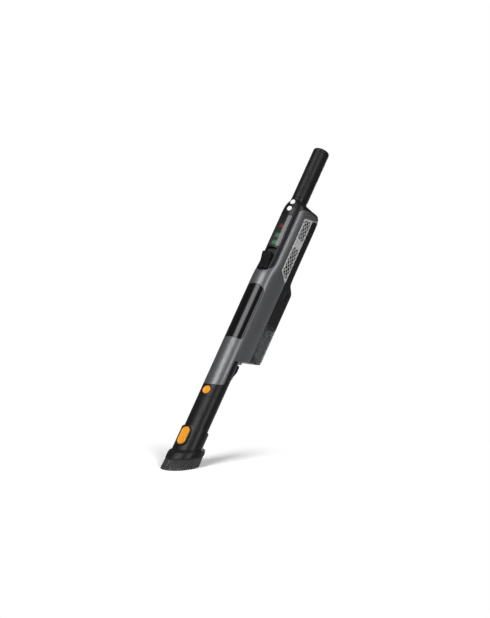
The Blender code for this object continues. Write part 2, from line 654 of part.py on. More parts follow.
def make_filters(joint, origin):
    frame = envelope(SHELL_GAP)
    seal = add("filter_frame", frame, "rubber", joint, origin)
    boolean(seal, slab("frame_area", (SEAM_Y + SHELL_GAP, 0.08), 0.3425, 0.3460), "INTERSECT")
    boolean(seal, guide("frame_hole", box((-0.0190, 0.0190), (0.0315, 0.0525), (0.33, 0.36))))
    pleats, depth = 13, 0.0022
    width, front, back = 0.0186, 0.0318, 0.0522
    top = [(-width + 2 * width * i / (2 * pleats), back - depth * (i % 2)) for i in range(2 * pleats + 1)]
    bottom = [(x, front + back - y) for x, y in reversed(top)]
    add("pleated_filter", prism(top + bottom, "Z", 0.3470, 0.3900), "filter_paper", joint, origin)
    cone = [[(half_w * c, 0.0420 + half_d * s, z) for c, s in circle(0, 0, 1.0, 20)]
            for z, half_w, half_d in ((0.3415, 0.0180, 0.0105), (0.3160, 0.0120, 0.0070))]
    shell = [[(half_w * c, 0.0420 + half_d * s, z) for c, s in circle(0, 0, 1.0, 20)]
             for z, half_w, half_d in ((0.3415, 0.0170, 0.0095), (0.3172, 0.0110, 0.0060))]
    mesh = add("mesh_prefilter", loft(cone), "steel", joint, origin)
    boolean(mesh, guide("prefilter_inside", loft([[(x, y, z + 0.001 * (z > 0.33)) for x, y, z in r] for r in shell])))
    lip = 0.2600
    baffle = [(SEAM_Y + SHELL_GAP, 0.2765), (0.0340, 0.2765), (0.0445, lip + 0.010), (0.0445, lip + 0.008),
              (0.0335, 0.2745), (SEAM_Y + SHELL_GAP, 0.2745)]
    add("dust_deflector", prism(baffle, "X", -0.0210, 0.0210), "black_plastic", joint, origin)


def make_door(bin_joint):
    origin = (0, HINGE_Y, HINGE_Z)
    joint = empty("door_axis", (0, HINGE_Y - SEAM_Y, HINGE_Z - 0.34), bin_joint)
    door = add("bin_door", envelope(), "clear_plastic", joint, origin)
    boolean(door, slab("door_area", (SEAM_Y, HINGE_Y - 0.0004), (0.10, 0.0), raised(STEP_PLANE, 0.0025)), "INTERSECT")
    for side in (-1, 1):
        notch = box(sorted((side * 0.0181, side * 0.04)), (HINGE_Y - HINGE_R - 0.0011, 0.07), (0.20, 0.30))
        boolean(door, guide(f"door_notch_{side + 1}", notch))
    boolean(door, guide("door_barrel", hinge_rod(HINGE_R, 0.0180)), "UNION")
    boolean(door, guide("door_bore", hinge_rod(HINGE_PIN_R + GAP, 0.03)))
    catch = box((-0.0050, 0.0050), (0.0312, 0.0328), (0.2535, 0.2602))
    boolean(door, guide("door_catch", catch), "UNION")
    add("door_hinge_pin", hinge_rod(HINGE_PIN_R, 0.0212), "steel", bin_joint, (0, SEAM_Y, 0.34))


def hinge_rod(radius, half_length):
    outline = [(HINGE_Y + y, HINGE_Z + z) for y, z in circle(0, 0, radius, 16)]
    return prism(outline, "X", -half_length, half_length)


def make_flap(bin_joint):
    y, z = SEAM_Y + WALL + 0.0012, 0.3020
    joint = empty("flap_axis", (0, y - SEAM_Y, z - 0.34), bin_joint)
    flap = box((-0.0135, 0.0135), (y - 0.0009, y + 0.0003), (0.2782, z))
    add("inlet_flap", flap, "rubber", joint, (0, y, z), smooth=False)


def make_lever():
    origin = (0, LEVER_Y, LEVER_Z)
    joint = empty("lever_axis", origin, FRAME)
    knuckle = arc(LEVER_Y, 0.0037, 0.0037, math.radians(-60), math.radians(150), 7)
    foot = [(y, LEVER_Z - x) for x, y in knuckle]
    top = [(0.0305, 0.2405), (0.0305, 0.2452), (0.0275, 0.2485), (0.0250, 0.2502), (0.0205, 0.2458), (0.0195, 0.2330)]
    lever = add("door_lever", prism(foot + top, "X", -0.0058, 0.0058), "black_plastic", joint, origin)
    bore, pin = [[(LEVER_Y + y, LEVER_Z + z) for y, z in circle(0, 0, r, 12)] for r in (0.0013, 0.0010)]
    boolean(lever, guide("lever_bore", prism(bore, "X", -0.02, 0.02)))
    add("lever_pin", prism(pin, "X", -0.0086, 0.0086), "steel", BODY)


# ---------------------------------------------------------------- nozzle and brush
def make_nozzle():
    origin = (0, 0, 0.19)
    joint = empty("nozzle_axis", origin, FRAME)
    seam = raised(NOZZLE_SEAM_PLANE, -GAP)
    def stack(inset, over):
        body, tip = oval(*NECK_OVAL, inset), oval(*NOZZLE_TIP_OVAL, inset)
        return [on_plane(tip, *raised(TIP_CUT_PLANE, -over)), on_plane(tip, 0.066), on_plane(body, 0.096),
                on_plane(body, *raised(seam, over))]
    body = add("nozzle_body", tube(stack(0.0, 0.0), stack(0.0024, 0.0)), "black_plastic", joint, origin)
    hole = [(x, 0.1715 + up) for x, up in circle(0, 0, 0.0083, 20)]
    boolean(body, guide("release_hole", prism(hole, "Y", -0.03, -0.005)))
    levels = (-0.0030, 0.0085)
    spigot, bore = [[on_plane(oval(*NECK_OVAL, inset), *raised(seam, dz)) for dz in levels]
                    for inset in (0.0028, 0.0046)]
    add("nozzle_spigot", tube(spigot, bore), "black_plastic", joint, origin)
    make_round_button(joint)
    make_brush(joint)


def make_round_button(nozzle_joint):
    z, front_y, back_y, radius, edge = 0.1715, -0.0212, -0.0152, 0.0080, 0.0012
    joint = empty("nozzle_button_axis", (0, front_y, z - 0.19), nozzle_joint)
    rings = []
    for y, r in ((front_y, radius - edge), (front_y + edge, radius), (back_y, radius)):
        rings.append([(x, y, z + up) for x, up in circle(0, 0, r, 24)])
    add("nozzle_button", loft(rings), "orange_plastic", joint, (0, front_y, z))


def make_brush(nozzle_joint):
    origin = (0, 0, 0.08)
    joint = empty("brush_axis", (0, 0, 0.08 - 0.19), nozzle_joint)
    make_sleeve(joint, origin)
    make_skirt(joint, origin)
    make_oval_button(joint)


def make_sleeve(joint, origin):
    low = raised(SKIRT_TOP_PLANE, 0.0)
    outer, inner = [[on_plane(oval(*SLEEVE_OVAL, inset), *low), on_plane(oval(*SLEEVE_OVAL, inset), SLEEVE_TOP_Z)]
                    for inset in (0.0, SLEEVE_WALL)]
    sleeve = add("brush_sleeve", tube(outer, inner), "black_plastic", joint, origin)
    pad = [(x, 0.0740 + z) for x, z in stadium(0.0107, 0.0215)]
    boolean(sleeve, guide("button_pad", prism(pad, "Y", -0.0250, -0.0215)), "UNION")
    boolean(sleeve, guide("pad_inside", loft([on_plane(oval(*SLEEVE_OVAL, SLEEVE_WALL), z) for z in (0.02, 0.12)])))
    hole = [(x, 0.0740 + z) for x, z in stadium(0.0088, 0.0178)]
    boolean(sleeve, guide("button_hole", prism(hole, "Y", -0.04, -0.010)))


def stadium(half_w, half_h, steps=8):
    """Outline of a slot shape standing on end."""
    turns = [math.pi * i / steps for i in range(steps + 1)]
    top = [(half_w * math.cos(t), half_h - half_w + half_w * math.sin(t)) for t in turns]
    return top + [(-x, -z) for x, z in top]


def make_skirt(joint, origin):
    top, foot = raised(SKIRT_TOP_PLANE, -GAP), raised(SKIRT_PLANE, 0.0)
    middle = ((top[0] + foot[0]) / 2 + 0.002, (top[1] + foot[1]) / 2)
    wide = (SKIRT_OVAL[0] - 0.0004, SKIRT_OVAL[1] - 0.0012, SKIRT_OVAL[2] - 0.0020)
    outer = [on_plane(oval(*SKIRT_OVAL), *foot), on_plane(oval(*wide), *middle), on_plane(oval(*SLEEVE_OVAL), *top)]
    inner = [on_plane(oval(*SLEEVE_OVAL, SLEEVE_WALL), *plane) for plane in (foot, middle, top)]
    add("brush_skirt", tube(outer, inner), "black_plastic", joint, origin)
    pack = raised(foot, -GAP)
    for name, inset, thick in (("bristles_outer", 0.0003, 0.0030), ("bristles_inner", 0.0043, 0.0020)):
        rows = []
        for extra in (0.0, thick):
            rim = oval(*SKIRT_OVAL, inset + extra)
            rows.append([on_plane(rim, *TIP_PLANE), on_plane(rim, *pack)])
        add(name, tube(*rows), "bristle", joint, origin)


def make_oval_button(brush_joint):
    z, front_y, back_y, edge = 0.0740, -0.0272, -0.0225, 0.0012
    joint = empty("brush_button_axis", (0, front_y, z - 0.08), brush_joint)
    rings = []
    for y, inset in ((front_y, edge), (front_y + edge, 0.0), (back_y, 0.0)):
        rings.append([(x, y, z + up) for x, up in stadium(0.0085 - inset, 0.0175 - inset)])
    add("brush_button", loft(rings), "orange_plastic", joint, (0, front_y, z))


# ---------------------------------------------------------------- assembly
clear_scene()
FRAME = empty("vacuum_frame", (0, TUBE_AXIS_Y, 0))
BODY = empty("body_axis", (0, 0, 0), FRAME)
make_grip()
make_cells()
make_front_panel()
make_display()
make_buttons()
make_slider()
make_front_shell()
make_badge()
make_grilles()
make_rear_cover()
make_socket()
make_neck_rear()
make_inlet_duct()
make_motor()
make_fan()
make_control_board()
make_bin()
make_lever()
make_nozzle()
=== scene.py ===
"""Handheld vacuum: surfaces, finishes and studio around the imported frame. Metres, in the frame's axes."""

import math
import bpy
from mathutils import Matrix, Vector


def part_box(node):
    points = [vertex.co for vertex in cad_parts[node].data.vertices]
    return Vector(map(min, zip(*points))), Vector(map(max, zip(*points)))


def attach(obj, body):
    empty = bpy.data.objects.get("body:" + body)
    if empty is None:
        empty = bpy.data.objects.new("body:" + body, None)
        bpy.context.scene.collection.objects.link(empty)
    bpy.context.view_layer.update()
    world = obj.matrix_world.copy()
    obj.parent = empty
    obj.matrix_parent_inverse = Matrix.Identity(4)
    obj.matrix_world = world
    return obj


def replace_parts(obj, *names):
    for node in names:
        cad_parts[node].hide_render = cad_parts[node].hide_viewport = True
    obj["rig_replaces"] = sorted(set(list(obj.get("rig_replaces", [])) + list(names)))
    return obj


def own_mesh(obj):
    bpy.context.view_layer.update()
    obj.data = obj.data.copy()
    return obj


bl_info = {
    "name": "Handheld Vacuum",
    "version": (1, 0, 0),
    "blender": (4, 5, 0),
    "location": "View3D > Sidebar > Vacuum",
    "description": "Builds the visible surfaces of a handheld vacuum around its CAD frame",
    "category": "Add Mesh",
}

import bmesh
import bpy
import numpy as np
from bpy.props import FloatProperty, FloatVectorProperty, PointerProperty
from mathutils import Matrix, Vector

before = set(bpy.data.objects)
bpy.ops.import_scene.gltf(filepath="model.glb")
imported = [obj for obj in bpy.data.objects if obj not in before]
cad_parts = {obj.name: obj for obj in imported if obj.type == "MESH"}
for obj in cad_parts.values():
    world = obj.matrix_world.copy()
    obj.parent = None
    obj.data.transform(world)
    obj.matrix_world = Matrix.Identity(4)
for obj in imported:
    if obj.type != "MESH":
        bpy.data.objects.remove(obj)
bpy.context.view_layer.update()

# ---------------------------------------------------------------- places, from the tube's axis
AXIS_Y = sum(corner.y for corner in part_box("grip_tube")) / 2
AXIS = np.array((0.0, AXIS_Y, 0.0))
GAP = 0.0003
WALL = 0.0022
SEAM_Y = 0.0253            # front shell / rear pieces
NECK_SEAM_Y = -0.008       # front / rear of the neck
NECK_OVAL = (-0.0022, 0.024, 0.018)        # centre y, half width, half depth
SLEEVE_OVAL = (-0.0022, 0.0275, 0.021)
SKIRT_OVAL = (0.0, 0.03188, 0.0299)
TIP_OVAL = (-0.0022, 0.0195, 0.0125)
PANEL_HALF_W, PANEL_FOOT_Z, PANEL_CURVE = 0.0195, 0.423, 0.020
COLLAR_Z, COLLAR_Y = 0.5700, -0.0015      # shell's top, and where its border leaves the panel's side
CORNER_Z = 0.5530          # rounded corner of that border starts here
COLLAR_TOP_Z = 0.5837
BADGE_HALF_W, BADGE_LOW, BADGE_HIGH = 0.0212, 0.282, 0.3945
GRILLE_FRONT_Y = 0.0033
WAIST_Z = 0.410            # shell rows change over here, between badge and panel

# slanted planes: z = base + slope * y
STEP_PLANE = (0.24405, 0.45)
TOP_SEAM_PLANE = (0.54775, 0.38)
GRILLE_FOOT_PLANE = (0.4403, -0.70)
NOZZLE_SEAM_PLANE = (0.196, 0.64)
SKIRT_TOP_PLANE = (0.062, 0.71)
SKIRT_PLANE = (0.0470, 0.765)
TIP_PLANE = (0.02376, 0.80)
TIP_CUT_PLANE = (0.034, 0.80)

# z, then: centre y, half width, half depth of the oval front; side x, side start y, back y, rear corner
BODY_STATIONS = (
    (0.1500, -0.0022, 0.0240, 0.0180, 0.0280, 0.016, 0.0590, 0.008),
    (0.4150, -0.0022, 0.0240, 0.0180, 0.0280, 0.016, 0.0590, 0.008),
    (0.4320, 0.0030, 0.0260, 0.0215, 0.0280, 0.014, 0.0460, 0.008),
    (0.4500, 0.0085, 0.0275, 0.0260, 0.0280, 0.013, 0.0450, 0.008),
    (0.5450, 0.0085, 0.0275, 0.0260, 0.0280, 0.013, 0.0450, 0.008),
    (0.5580, 0.0074, 0.0267, 0.0248, 0.0278, 0.013, 0.0450, 0.0082),
    (0.5655, 0.0056, 0.0250, 0.0224, 0.0272, 0.012, 0.0448, 0.0085),
    (0.5697, 0.0036, 0.0225, 0.0202, 0.0248, 0.010, 0.0420, 0.0100),
    (0.5726, 0.0016, 0.0193, 0.0180, 0.0208, 0.008, 0.0345, 0.0125),
)
ROUND_STATIONS = (
    (0.5765, 0.0006, 0.0163, 0.0164),
    (0.5837, 0.0, 0.0154, 0.0154),
    (0.6200, 0.0, 0.0154, 0.0154),
)
STATION_Z = np.array([row[0] for row in BODY_STATIONS + ROUND_STATIONS])
SHOULDER_RISE = 0.12       # how much the shoulder climbs towards the back
BACK = 14.0                # the outline parameter at the back centre; 0 is the front centre


# ---------------------------------------------------------------- the housing's outer form
def housing_outline(k, centre_y, a, b, width, side_y, back_y, corner):
    """Right half of the body's outline. k 0-6: oval arc x = a sin t, y = centre - b cos t with t = 12 k degrees;
    k 6-9: parabola from the arc's end to (width, side_y), tangent to both; k 9-10: straight side;
    k 10-13: quarter circle of the rear corner; k 13-14: straight to the back centre."""
    k = np.asarray(k, float)
    end = math.radians(72)
    start_x, start_y = a * math.sin(end), centre_y - b * math.cos(end)
    bend_y = min(start_y + (width - start_x) * b * math.sin(end) / (a * math.cos(end)), side_y)
    t = np.radians(12 * np.clip(k, 0, 6))
    u = np.clip((k - 6) / 3, 0, 1)
    c = np.radians(30 * np.clip(k - 10, 0, 3))
    zones = [k <= 6, k <= 9, k <= 10, k <= 13]
    x = np.select(zones, [
        a * np.sin(t),
        start_x * (1 - u) ** 2 + width * (2 * u * (1 - u) + u * u),
        np.full_like(k, width),
        width - corner * (1 - np.cos(c)),
    ], (width - corner) * (BACK - k))
    y = np.select(zones, [
        centre_y - b * np.cos(t),
        start_y * (1 - u) ** 2 + bend_y * 2 * u * (1 - u) + side_y * u * u,
        side_y + (back_y - corner - side_y) * (k - 9),
        back_y - corner * (1 - np.sin(c)),
    ], back_y)
    return np.stack((x, y), -1)


def oval_outline(k, centre_y, a, b):
    """Right half of an oval, with the same parameter: 12 degrees for each step to 6, then 13.5 degrees."""
    k = np.asarray(k, float)
    t = np.radians(np.where(k <= 6, 12 * k, 72 + 13.5 * (k - 6)))
    return np.stack((a * np.sin(t), centre_y - b * np.cos(t)), -1)


def envelope(k, z):
    """Points of the housing's outer surface. Every station's outline is taken at k, and the points between
    stations follow cubic Hermite curves in z, whose slopes are the harmonic means of the chords' slopes. The
    shoulder is then sheared upwards in proportion to y, by smooth steps in z."""
    k, z = np.broadcast_arrays(np.asarray(k, float), np.asarray(z, float))
    flat_k, flat_z = k.ravel(), np.clip(z.ravel(), STATION_Z[0], STATION_Z[-1] - 1e-9)
    shapes = [housing_outline(flat_k, *row[1:]) for row in BODY_STATIONS]
    shapes += [oval_outline(flat_k, *row[1:]) for row in ROUND_STATIONS]
    shapes = np.stack(shapes)
    height = np.diff(STATION_Z)
    chord = np.diff(shapes, axis=0) / height[:, None, None]
    product = chord[:-1] * chord[1:]
    total = chord[:-1] + chord[1:]
    mean = np.where(product > 0, 2 * product / np.where(np.abs(total) < 1e-12, 1, total), 0)
    slope = np.concatenate((np.zeros_like(mean[:1]), mean, np.zeros_like(mean[:1])))
    i = np.clip(np.searchsorted(STATION_Z, flat_z, side="right") - 1, 0, len(height) - 1)
    n = np.arange(len(flat_z))
    h = height[i][:, None]
    t = (flat_z - STATION_Z[i])[:, None] / h
    here = (shapes[i, n] * (2 * t**3 - 3 * t**2 + 1) + slope[i, n] * h * (t**3 - 2 * t**2 + t)
            + shapes[i + 1, n] * (3 * t**2 - 2 * t**3) + slope[i + 1, n] * h * (t**3 - t**2))
    rise = np.clip((flat_z - 0.5645) / 0.0050, 0, 1)
    fall = np.clip((0.5837 - flat_z) / 0.0072, 0, 1)
    blend = rise * rise * (3 - 2 * rise) * fall * fall * (3 - 2 * fall)
    lift = SHOULDER_RISE * np.maximum(here[:, 1], 0) * blend
    return np.concatenate((here, (z.ravel() + lift)[:, None]), 1).reshape(*k.shape, 3)


def outward(k, z):
    """Unit normals of the outline at each height, in the horizontal plane."""
    step = 1e-3
    ahead = envelope(np.minimum(k + step, BACK), z) - envelope(np.maximum(k - step, 0), z)
    normal = np.stack((ahead[..., 1], -ahead[..., 0], np.zeros_like(ahead[..., 0])), -1)
    return normal / np.maximum(np.linalg.norm(normal, axis=-1, keepdims=True), 1e-12)


def k_where(axis, value, z, low=0.0, high=13.0):
    """The outline parameter at which x (axis 0) or y (axis 1) reaches a value, by halving the interval."""
    value, z = np.broadcast_arrays(np.asarray(value, float), np.asarray(z, float))
    low, high = np.full(z.shape, float(low)), np.full(z.shape, float(high))
    for _ in range(36):
        middle = (low + high) / 2
        under = envelope(middle, z)[..., axis] < value
        low, high = np.where(under, middle, low), np.where(under, high, middle)
    return (low + high) / 2


def on_side(y, z):
    """(k, z) of points given by y and z on the right side."""
    y, z = np.broadcast_arrays(np.asarray(y, float), np.asarray(z, float))
    return np.stack((k_where(1, y, z), z), -1)


def on_front(x, z):
    """(k, z) of points given by x and z on the right front."""
    x, z = np.broadcast_arrays(np.asarray(x, float), np.asarray(z, float))
    return np.stack((k_where(0, x, z, high=9.0), z), -1)


def on_plane(k, plane, lift=0.0):
    """(k, z) of points where the outline meets a slanted plane, found by repeated substitution."""
    k = np.asarray(k, float)
    z = np.full(k.shape, plane[0] + lift)
    for _ in range(8):
        z = plane[0] + lift + plane[1] * envelope(k, z)[..., 1]
    return np.stack((k, z), -1)


def front_y(x, z):
    """y of the front surface over (x, z)."""
    x = np.abs(x)
    return envelope(k_where(0, x, z, high=9.0), z)[..., 1]


def side_x(y, z):
    """x of the right side over (y, z)."""
    return envelope(k_where(1, y, z), z)[..., 0]


# ---------------------------------------------------------------- grids
def line(start, end, count):
    """count + 1 points from start to end, evenly spaced."""
    share = np.linspace(0, 1, count + 1)[:, None]
    return np.asarray(start) * (1 - share) + np.asarray(end) * share


def chain(*pieces):
    """Edge pieces joined end to end, without the repeated points."""
    return np.concatenate([pieces[0]] + [piece[1:] for piece in pieces[1:]])


def coons(bottom, top, left, right):
    """Coons patch between four edges: ruled one way, plus ruled the other, less the corners' bilinear patch."""
    u = np.linspace(0, 1, len(bottom))[None, :, None]
    v = np.linspace(0, 1, len(left))[:, None, None]
    across = (1 - v) * bottom[None] + v * top[None]
    along = (1 - u) * left[:, None] + u * right[:, None]
    corners = ((1 - u) * (1 - v) * bottom[0] + u * (1 - v) * bottom[-1]
               + (1 - u) * v * top[0] + u * v * top[-1])
    return across + along - corners


def ruled(first, last, rows):
    """Straight lines between matching points of two edges."""
    share = np.linspace(0, 1, rows + 1)[:, None, None]
    return first[None] * (1 - share) + last[None] * share


def on_body(patch):
    """A (k, z) patch lifted on to the housing's outer surface."""
    return envelope(patch[..., 0], patch[..., 1])


def both_sides(grids):
    """Right-hand grids and their mirror images, columns reversed so that they face out as well."""
    return grids + [(grid * (-1, 1, 1))[:, ::-1] for grid in grids]


def rounded(points, radius, steps=4):
    """A closed outline whose corners are parabolas that leave and meet their sides at distance radius, with a
    further point on each side at twice that distance, so that flat parts keep a flat shading."""
    p = np.asarray(points, float)
    r = np.broadcast_to(np.asarray(radius, float), len(p))
    sides = [np.roll(p, shift, axis=0) - p for shift in (1, -1)]
    reach = [np.minimum(r, 0.24 * np.linalg.norm(side, axis=1))[:, None] for side in sides]
    units = [side / np.linalg.norm(side, axis=1)[:, None] for side in sides]
    start, end = p + units[0] * reach[0], p + units[1] * reach[1]
    t = np.linspace(0, 1, steps + 1)[None, :, None]
    curve = start[:, None] * (1 - t) ** 2 + p[:, None] * 2 * t * (1 - t) + end[:, None] * t * t
    before, after = p + units[0] * reach[0] * 2, p + units[1] * reach[1] * 2
    return np.concatenate((before[:, None], curve, after[:, None]), 1).reshape(-1, 2)


def grown(outline, by):
    """A closed outline moved outwards along its normals."""
    ahead, behind = np.roll(outline, -1, axis=0), np.roll(outline, 1, axis=0)
    area = np.sum(outline[:, 0] * ahead[:, 1] - ahead[:, 0] * outline[:, 1])
    tangent = ahead - behind
    normal = np.stack((tangent[:, 1], -tangent[:, 0]), -1) * math.copysign(1, area)
    return outline + by * normal / np.maximum(np.linalg.norm(normal, axis=1, keepdims=True), 1e-9)


def rectangle(low_a, high_a, low_b, high_b):
    return np.array(((low_a, low_b), (high_a, low_b), (high_a, high_b), (low_a, high_b)))


def circle(x, z, radius, steps=32):
    t = (np.arange(steps) + 0.5) * 2 * math.pi / steps
    return np.stack((x + radius * np.cos(t), z + radius * np.sin(t)), -1)


def stadium(z, radius, half_length, steps=32):
    """A circle stretched along z: each half moves by half_length."""
    t = (np.arange(steps) + 0.5) * 2 * math.pi / steps
    return np.stack((radius * np.cos(t), z + radius * np.sin(t) + half_length * np.sign(np.sin(t))), -1)


def closed(rows):
    """Rows of a ring, with the first column repeated at the end."""
    return np.concatenate((rows, rows[:, :1]), 1)


def placed(points, axis, depth):
    """Outline points set at a depth: (y, z) along X, (x, z) along Y, (x, y) along Z."""
    depth = np.broadcast_to(depth, points.shape[:-1])
    order = {"X": (2, 0, 1), "Y": (0, 2, 1), "Z": (0, 1, 2)}[axis]
    return np.stack((points[..., 0], points[..., 1], depth), -1)[..., order]


def bar(outline, axis, low, high, edge=0.0004, steps=3):
    """An outline pushed along an axis, whose end edges are rounded: at angle t the outline is drawn in by
    edge (1 - sin t) at edge (1 - cos t) from the end, and a flat margin follows before the closing face."""
    t = np.linspace(0, math.pi / 2, steps + 1)
    inset = np.concatenate(([edge * 1.6], edge * (1 - np.sin(t)), [0]))
    depth = np.concatenate(([0], edge * (1 - np.cos(t)), [edge * 2]))
    rows = [placed(grown(outline, -i), axis, low + d) for i, d in zip(inset, depth)]
    rows += [placed(grown(outline, -i), axis, high - d) for i, d in zip(inset[::-1], depth[::-1])]
    return closed(np.stack(rows))


def lathe(profile, centre, axis="Z", steps=64):
    """A profile of (radius, height) turned about an axis through centre."""
    t = np.linspace(0, 2 * math.pi, steps + 1)
    r, h = profile[:, 0][:, None], profile[:, 1][:, None]
    a, b = r * np.cos(t), r * np.sin(t)
    h = np.broadcast_to(h, a.shape)
    order = {"Z": (a, b, h), "Y": (a, h, b), "X": (h, a, b)}[axis]
    return np.stack(order, -1) + np.asarray(centre, float)


def swept(path, side, up, profile):
    """A closed profile of (along side, along up) carried along a path."""
    profile = np.concatenate((profile, profile[:1]))
    return path[:, None] + side[:, None] * profile[None, :, :1] + up[:, None] * profile[None, :, 1:]


# ---------------------------------------------------------------- meshes
def quads(rows, columns):
    """Quads of a grid whose point (r, c) has index r * columns + c; they face columns x rows."""
    i = np.arange(rows * columns).reshape(rows, columns)
    return np.stack((i[:-1, :-1], i[:-1, 1:], i[1:, 1:], i[1:, :-1]), -1).reshape(-1, 4)


def mesh_piece(name, grids, fill=False, turn_out=False, along=None, merge=4e-6):
    """One object from grids of points (or stacks of grids), with doubles merged. fill closes open loops with
    a face; turn_out makes the faces of closed shapes point outwards; along is a value per point, kept as an
    attribute."""
    points, faces, start = [], [], 0
    for grid in grids:
        stack = grid.reshape(-1, *grid.shape[-3:])
        count, rows, columns = stack.shape[:3]
        index = start + np.arange(count)[:, None, None] * (rows * columns) + quads(rows, columns)[None]
        points.append(stack.reshape(-1, 3))
        faces.append(index.reshape(-1, 4))
        start += count * rows * columns
    points, faces = np.concatenate(points) + AXIS, np.concatenate(faces)
    mesh = bpy.data.meshes.new(name)
    mesh.vertices.add(len(points))
    mesh.vertices.foreach_set("co", points.astype(np.float32).ravel())
    mesh.loops.add(faces.size)
    mesh.loops.foreach_set("vertex_index", faces.astype(np.int32).ravel())
    mesh.polygons.add(len(faces))
    mesh.polygons.foreach_set("loop_start", np.arange(0, faces.size, 4, dtype=np.int32))
    mesh.update(calc_edges=True)
    if along is not None:
        layer = mesh.attributes.new("along", "FLOAT", "POINT")
        layer.data.foreach_set("value", np.asarray(along, np.float32).ravel())
    bm = bmesh.new()
    bm.from_mesh(mesh)
    bmesh.ops.remove_doubles(bm, verts=bm.verts, dist=merge)
    if fill:
        bmesh.ops.holes_fill(bm, edges=[e for e in bm.edges if e.is_boundary], sides=0)
    if turn_out:
        bmesh.ops.recalc_face_normals(bm, faces=bm.faces)
    bm.to_mesh(mesh)
    bm.free()
    piece = bpy.data.objects.new(name, mesh)
    bpy.context.scene.collection.objects.link(piece)
    shade(piece)
    return piece


def shade(piece, angle=48):
    piece.data.shade_smooth()
    piece.data.set_sharp_from_angle(angle=math.radians(angle))
    return piece


def settle(piece):
    """Takes the modifiers' result as the piece's own mesh."""
    graph = bpy.context.evaluated_depsgraph_get()
    result = piece.evaluated_get(graph)
    made = bpy.data.meshes.new_from_object(result, preserve_all_data_layers=True, depsgraph=graph)
    old, name = piece.data, piece.data.name
    piece.modifiers.clear()
    piece.data = made
    bpy.data.meshes.remove(old)
    made.name = name
    return shade(piece)


def thicken(piece, wall=WALL, edge=0.00035, segments=3):
    """A wall behind the surface, with rounded borders."""
    solid = piece.modifiers.new("wall", "SOLIDIFY")
    solid.thickness, solid.offset = wall, -1
    solid.use_even_offset = True
    bevel = piece.modifiers.new("edge", "BEVEL")
    bevel.width, bevel.segments = edge, segments
    bevel.limit_method, bevel.angle_limit = "ANGLE", math.radians(50)
    return settle(piece)


def carve(piece, cutters, operation="DIFFERENCE"):
    """Takes closed shapes out of the piece, or adds them."""
    tool = mesh_piece("cutter", cutters, fill=True, turn_out=True)
    boolean = piece.modifiers.new("cut", "BOOLEAN")
    boolean.operation, boolean.object = operation, tool
    boolean.solver = "MANIFOLD"
    settle(piece)
    mesh = tool.data
    bpy.data.objects.remove(tool)
    bpy.data.meshes.remove(mesh)
    return piece


def front_cutter(outline, lip=0.0004, deep=0.008, surface=None):
    """A hole through a front wall, flared at the surface so that its lip is rounded, with flat ends well clear of
    the wall."""
    surface = surface or front_y
    rows = [(0.0, lip), (lip * 0.3, lip * 0.3), (lip, 0.0), (lip * 2.2, -lip * 1.4)]
    rings = []
    for grow, depth in rows:
        ring = grown(outline, grow)
        rings.append(placed(ring, "Y", surface(ring[:, 0], ring[:, 1]) + depth))
    nearest, farthest = rings[-1][:, 1].min() - 0.002, rings[0][:, 1].max() + deep
    rings = [placed(outline, "Y", farthest)] + rings + [placed(grown(outline, lip * 2.2), "Y", nearest)]
    return closed(np.stack(rings))


def nozzle_y(x, _z):
    """y of the nozzle's front wall over x."""
    return NECK_OVAL[0] - NECK_OVAL[2] * np.sqrt(1 - (x / NECK_OVAL[1]) ** 2)


def dress(piece, body, slot, finish, *nodes):
    """Material, body and the CAD nodes that the piece stands for. The slot is not used."""
    piece.data.materials.clear()
    piece.data.materials.append(finish)
    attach(piece, body)
    if nodes:
        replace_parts(piece, *nodes)
    return piece


# ---------------------------------------------------------------- material building blocks
def node(tree, kind, inputs=None, **settings):
    """A shader node with its settings, and its inputs given as values or as sockets to link from."""
    made = tree.nodes.new(kind)
    for name, value in settings.items():
        setattr(made, name, value)
    for name, value in (inputs or {}).items():
        if isinstance(value, bpy.types.NodeSocket):
            tree.links.new(value, made.inputs[name])
        else:
            made.inputs[name].default_value = value
    return made


def maths(tree, operation, first, second=0.0, clamp=False):
    return node(tree, "ShaderNodeMath", {0: first, 1: second}, operation=operation, use_clamp=clamp).outputs[0]


def stretch(tree, value, low, high, to_low=0.0, to_high=1.0):
    inputs = {"Value": value, "From Min": low, "From Max": high, "To Min": to_low, "To Max": to_high}
    return node(tree, "ShaderNodeMapRange", inputs, clamp=True, interpolation_type="SMOOTHSTEP").outputs[0]


def mixed(tree, factor, first, second):
    """Colour mix."""
    made = node(tree, "ShaderNodeMix", None, data_type="RGBA")
    for index, value in ((0, factor), (6, first), (7, second)):
        if isinstance(value, bpy.types.NodeSocket):
            tree.links.new(value, made.inputs[index])
        else:
            made.inputs[index].default_value = value if index == 0 else rgba(value)
    return made.outputs[2]


def rgba(colour):
    return (*tuple(colour)[:3], 1.0)


def new_group(name, inputs, outputs):
    """An empty node group with its sockets; returns the tree, its input node and its output node."""
    group = bpy.data.node_groups.new(name, "ShaderNodeTree")
    for label, kind, default in inputs:
        socket = group.interface.new_socket(label, in_out="INPUT", socket_type="NodeSocket" + kind)
        if default is not None:
            socket.default_value = default
    for label, kind in outputs:
        group.interface.new_socket(label, in_out="OUTPUT", socket_type="NodeSocket" + kind)
    return group, group.nodes.new("NodeGroupInput"), group.nodes.new("NodeGroupOutput")


def group_once(name, make):
    return bpy.data.node_groups.get(name) or make(name)


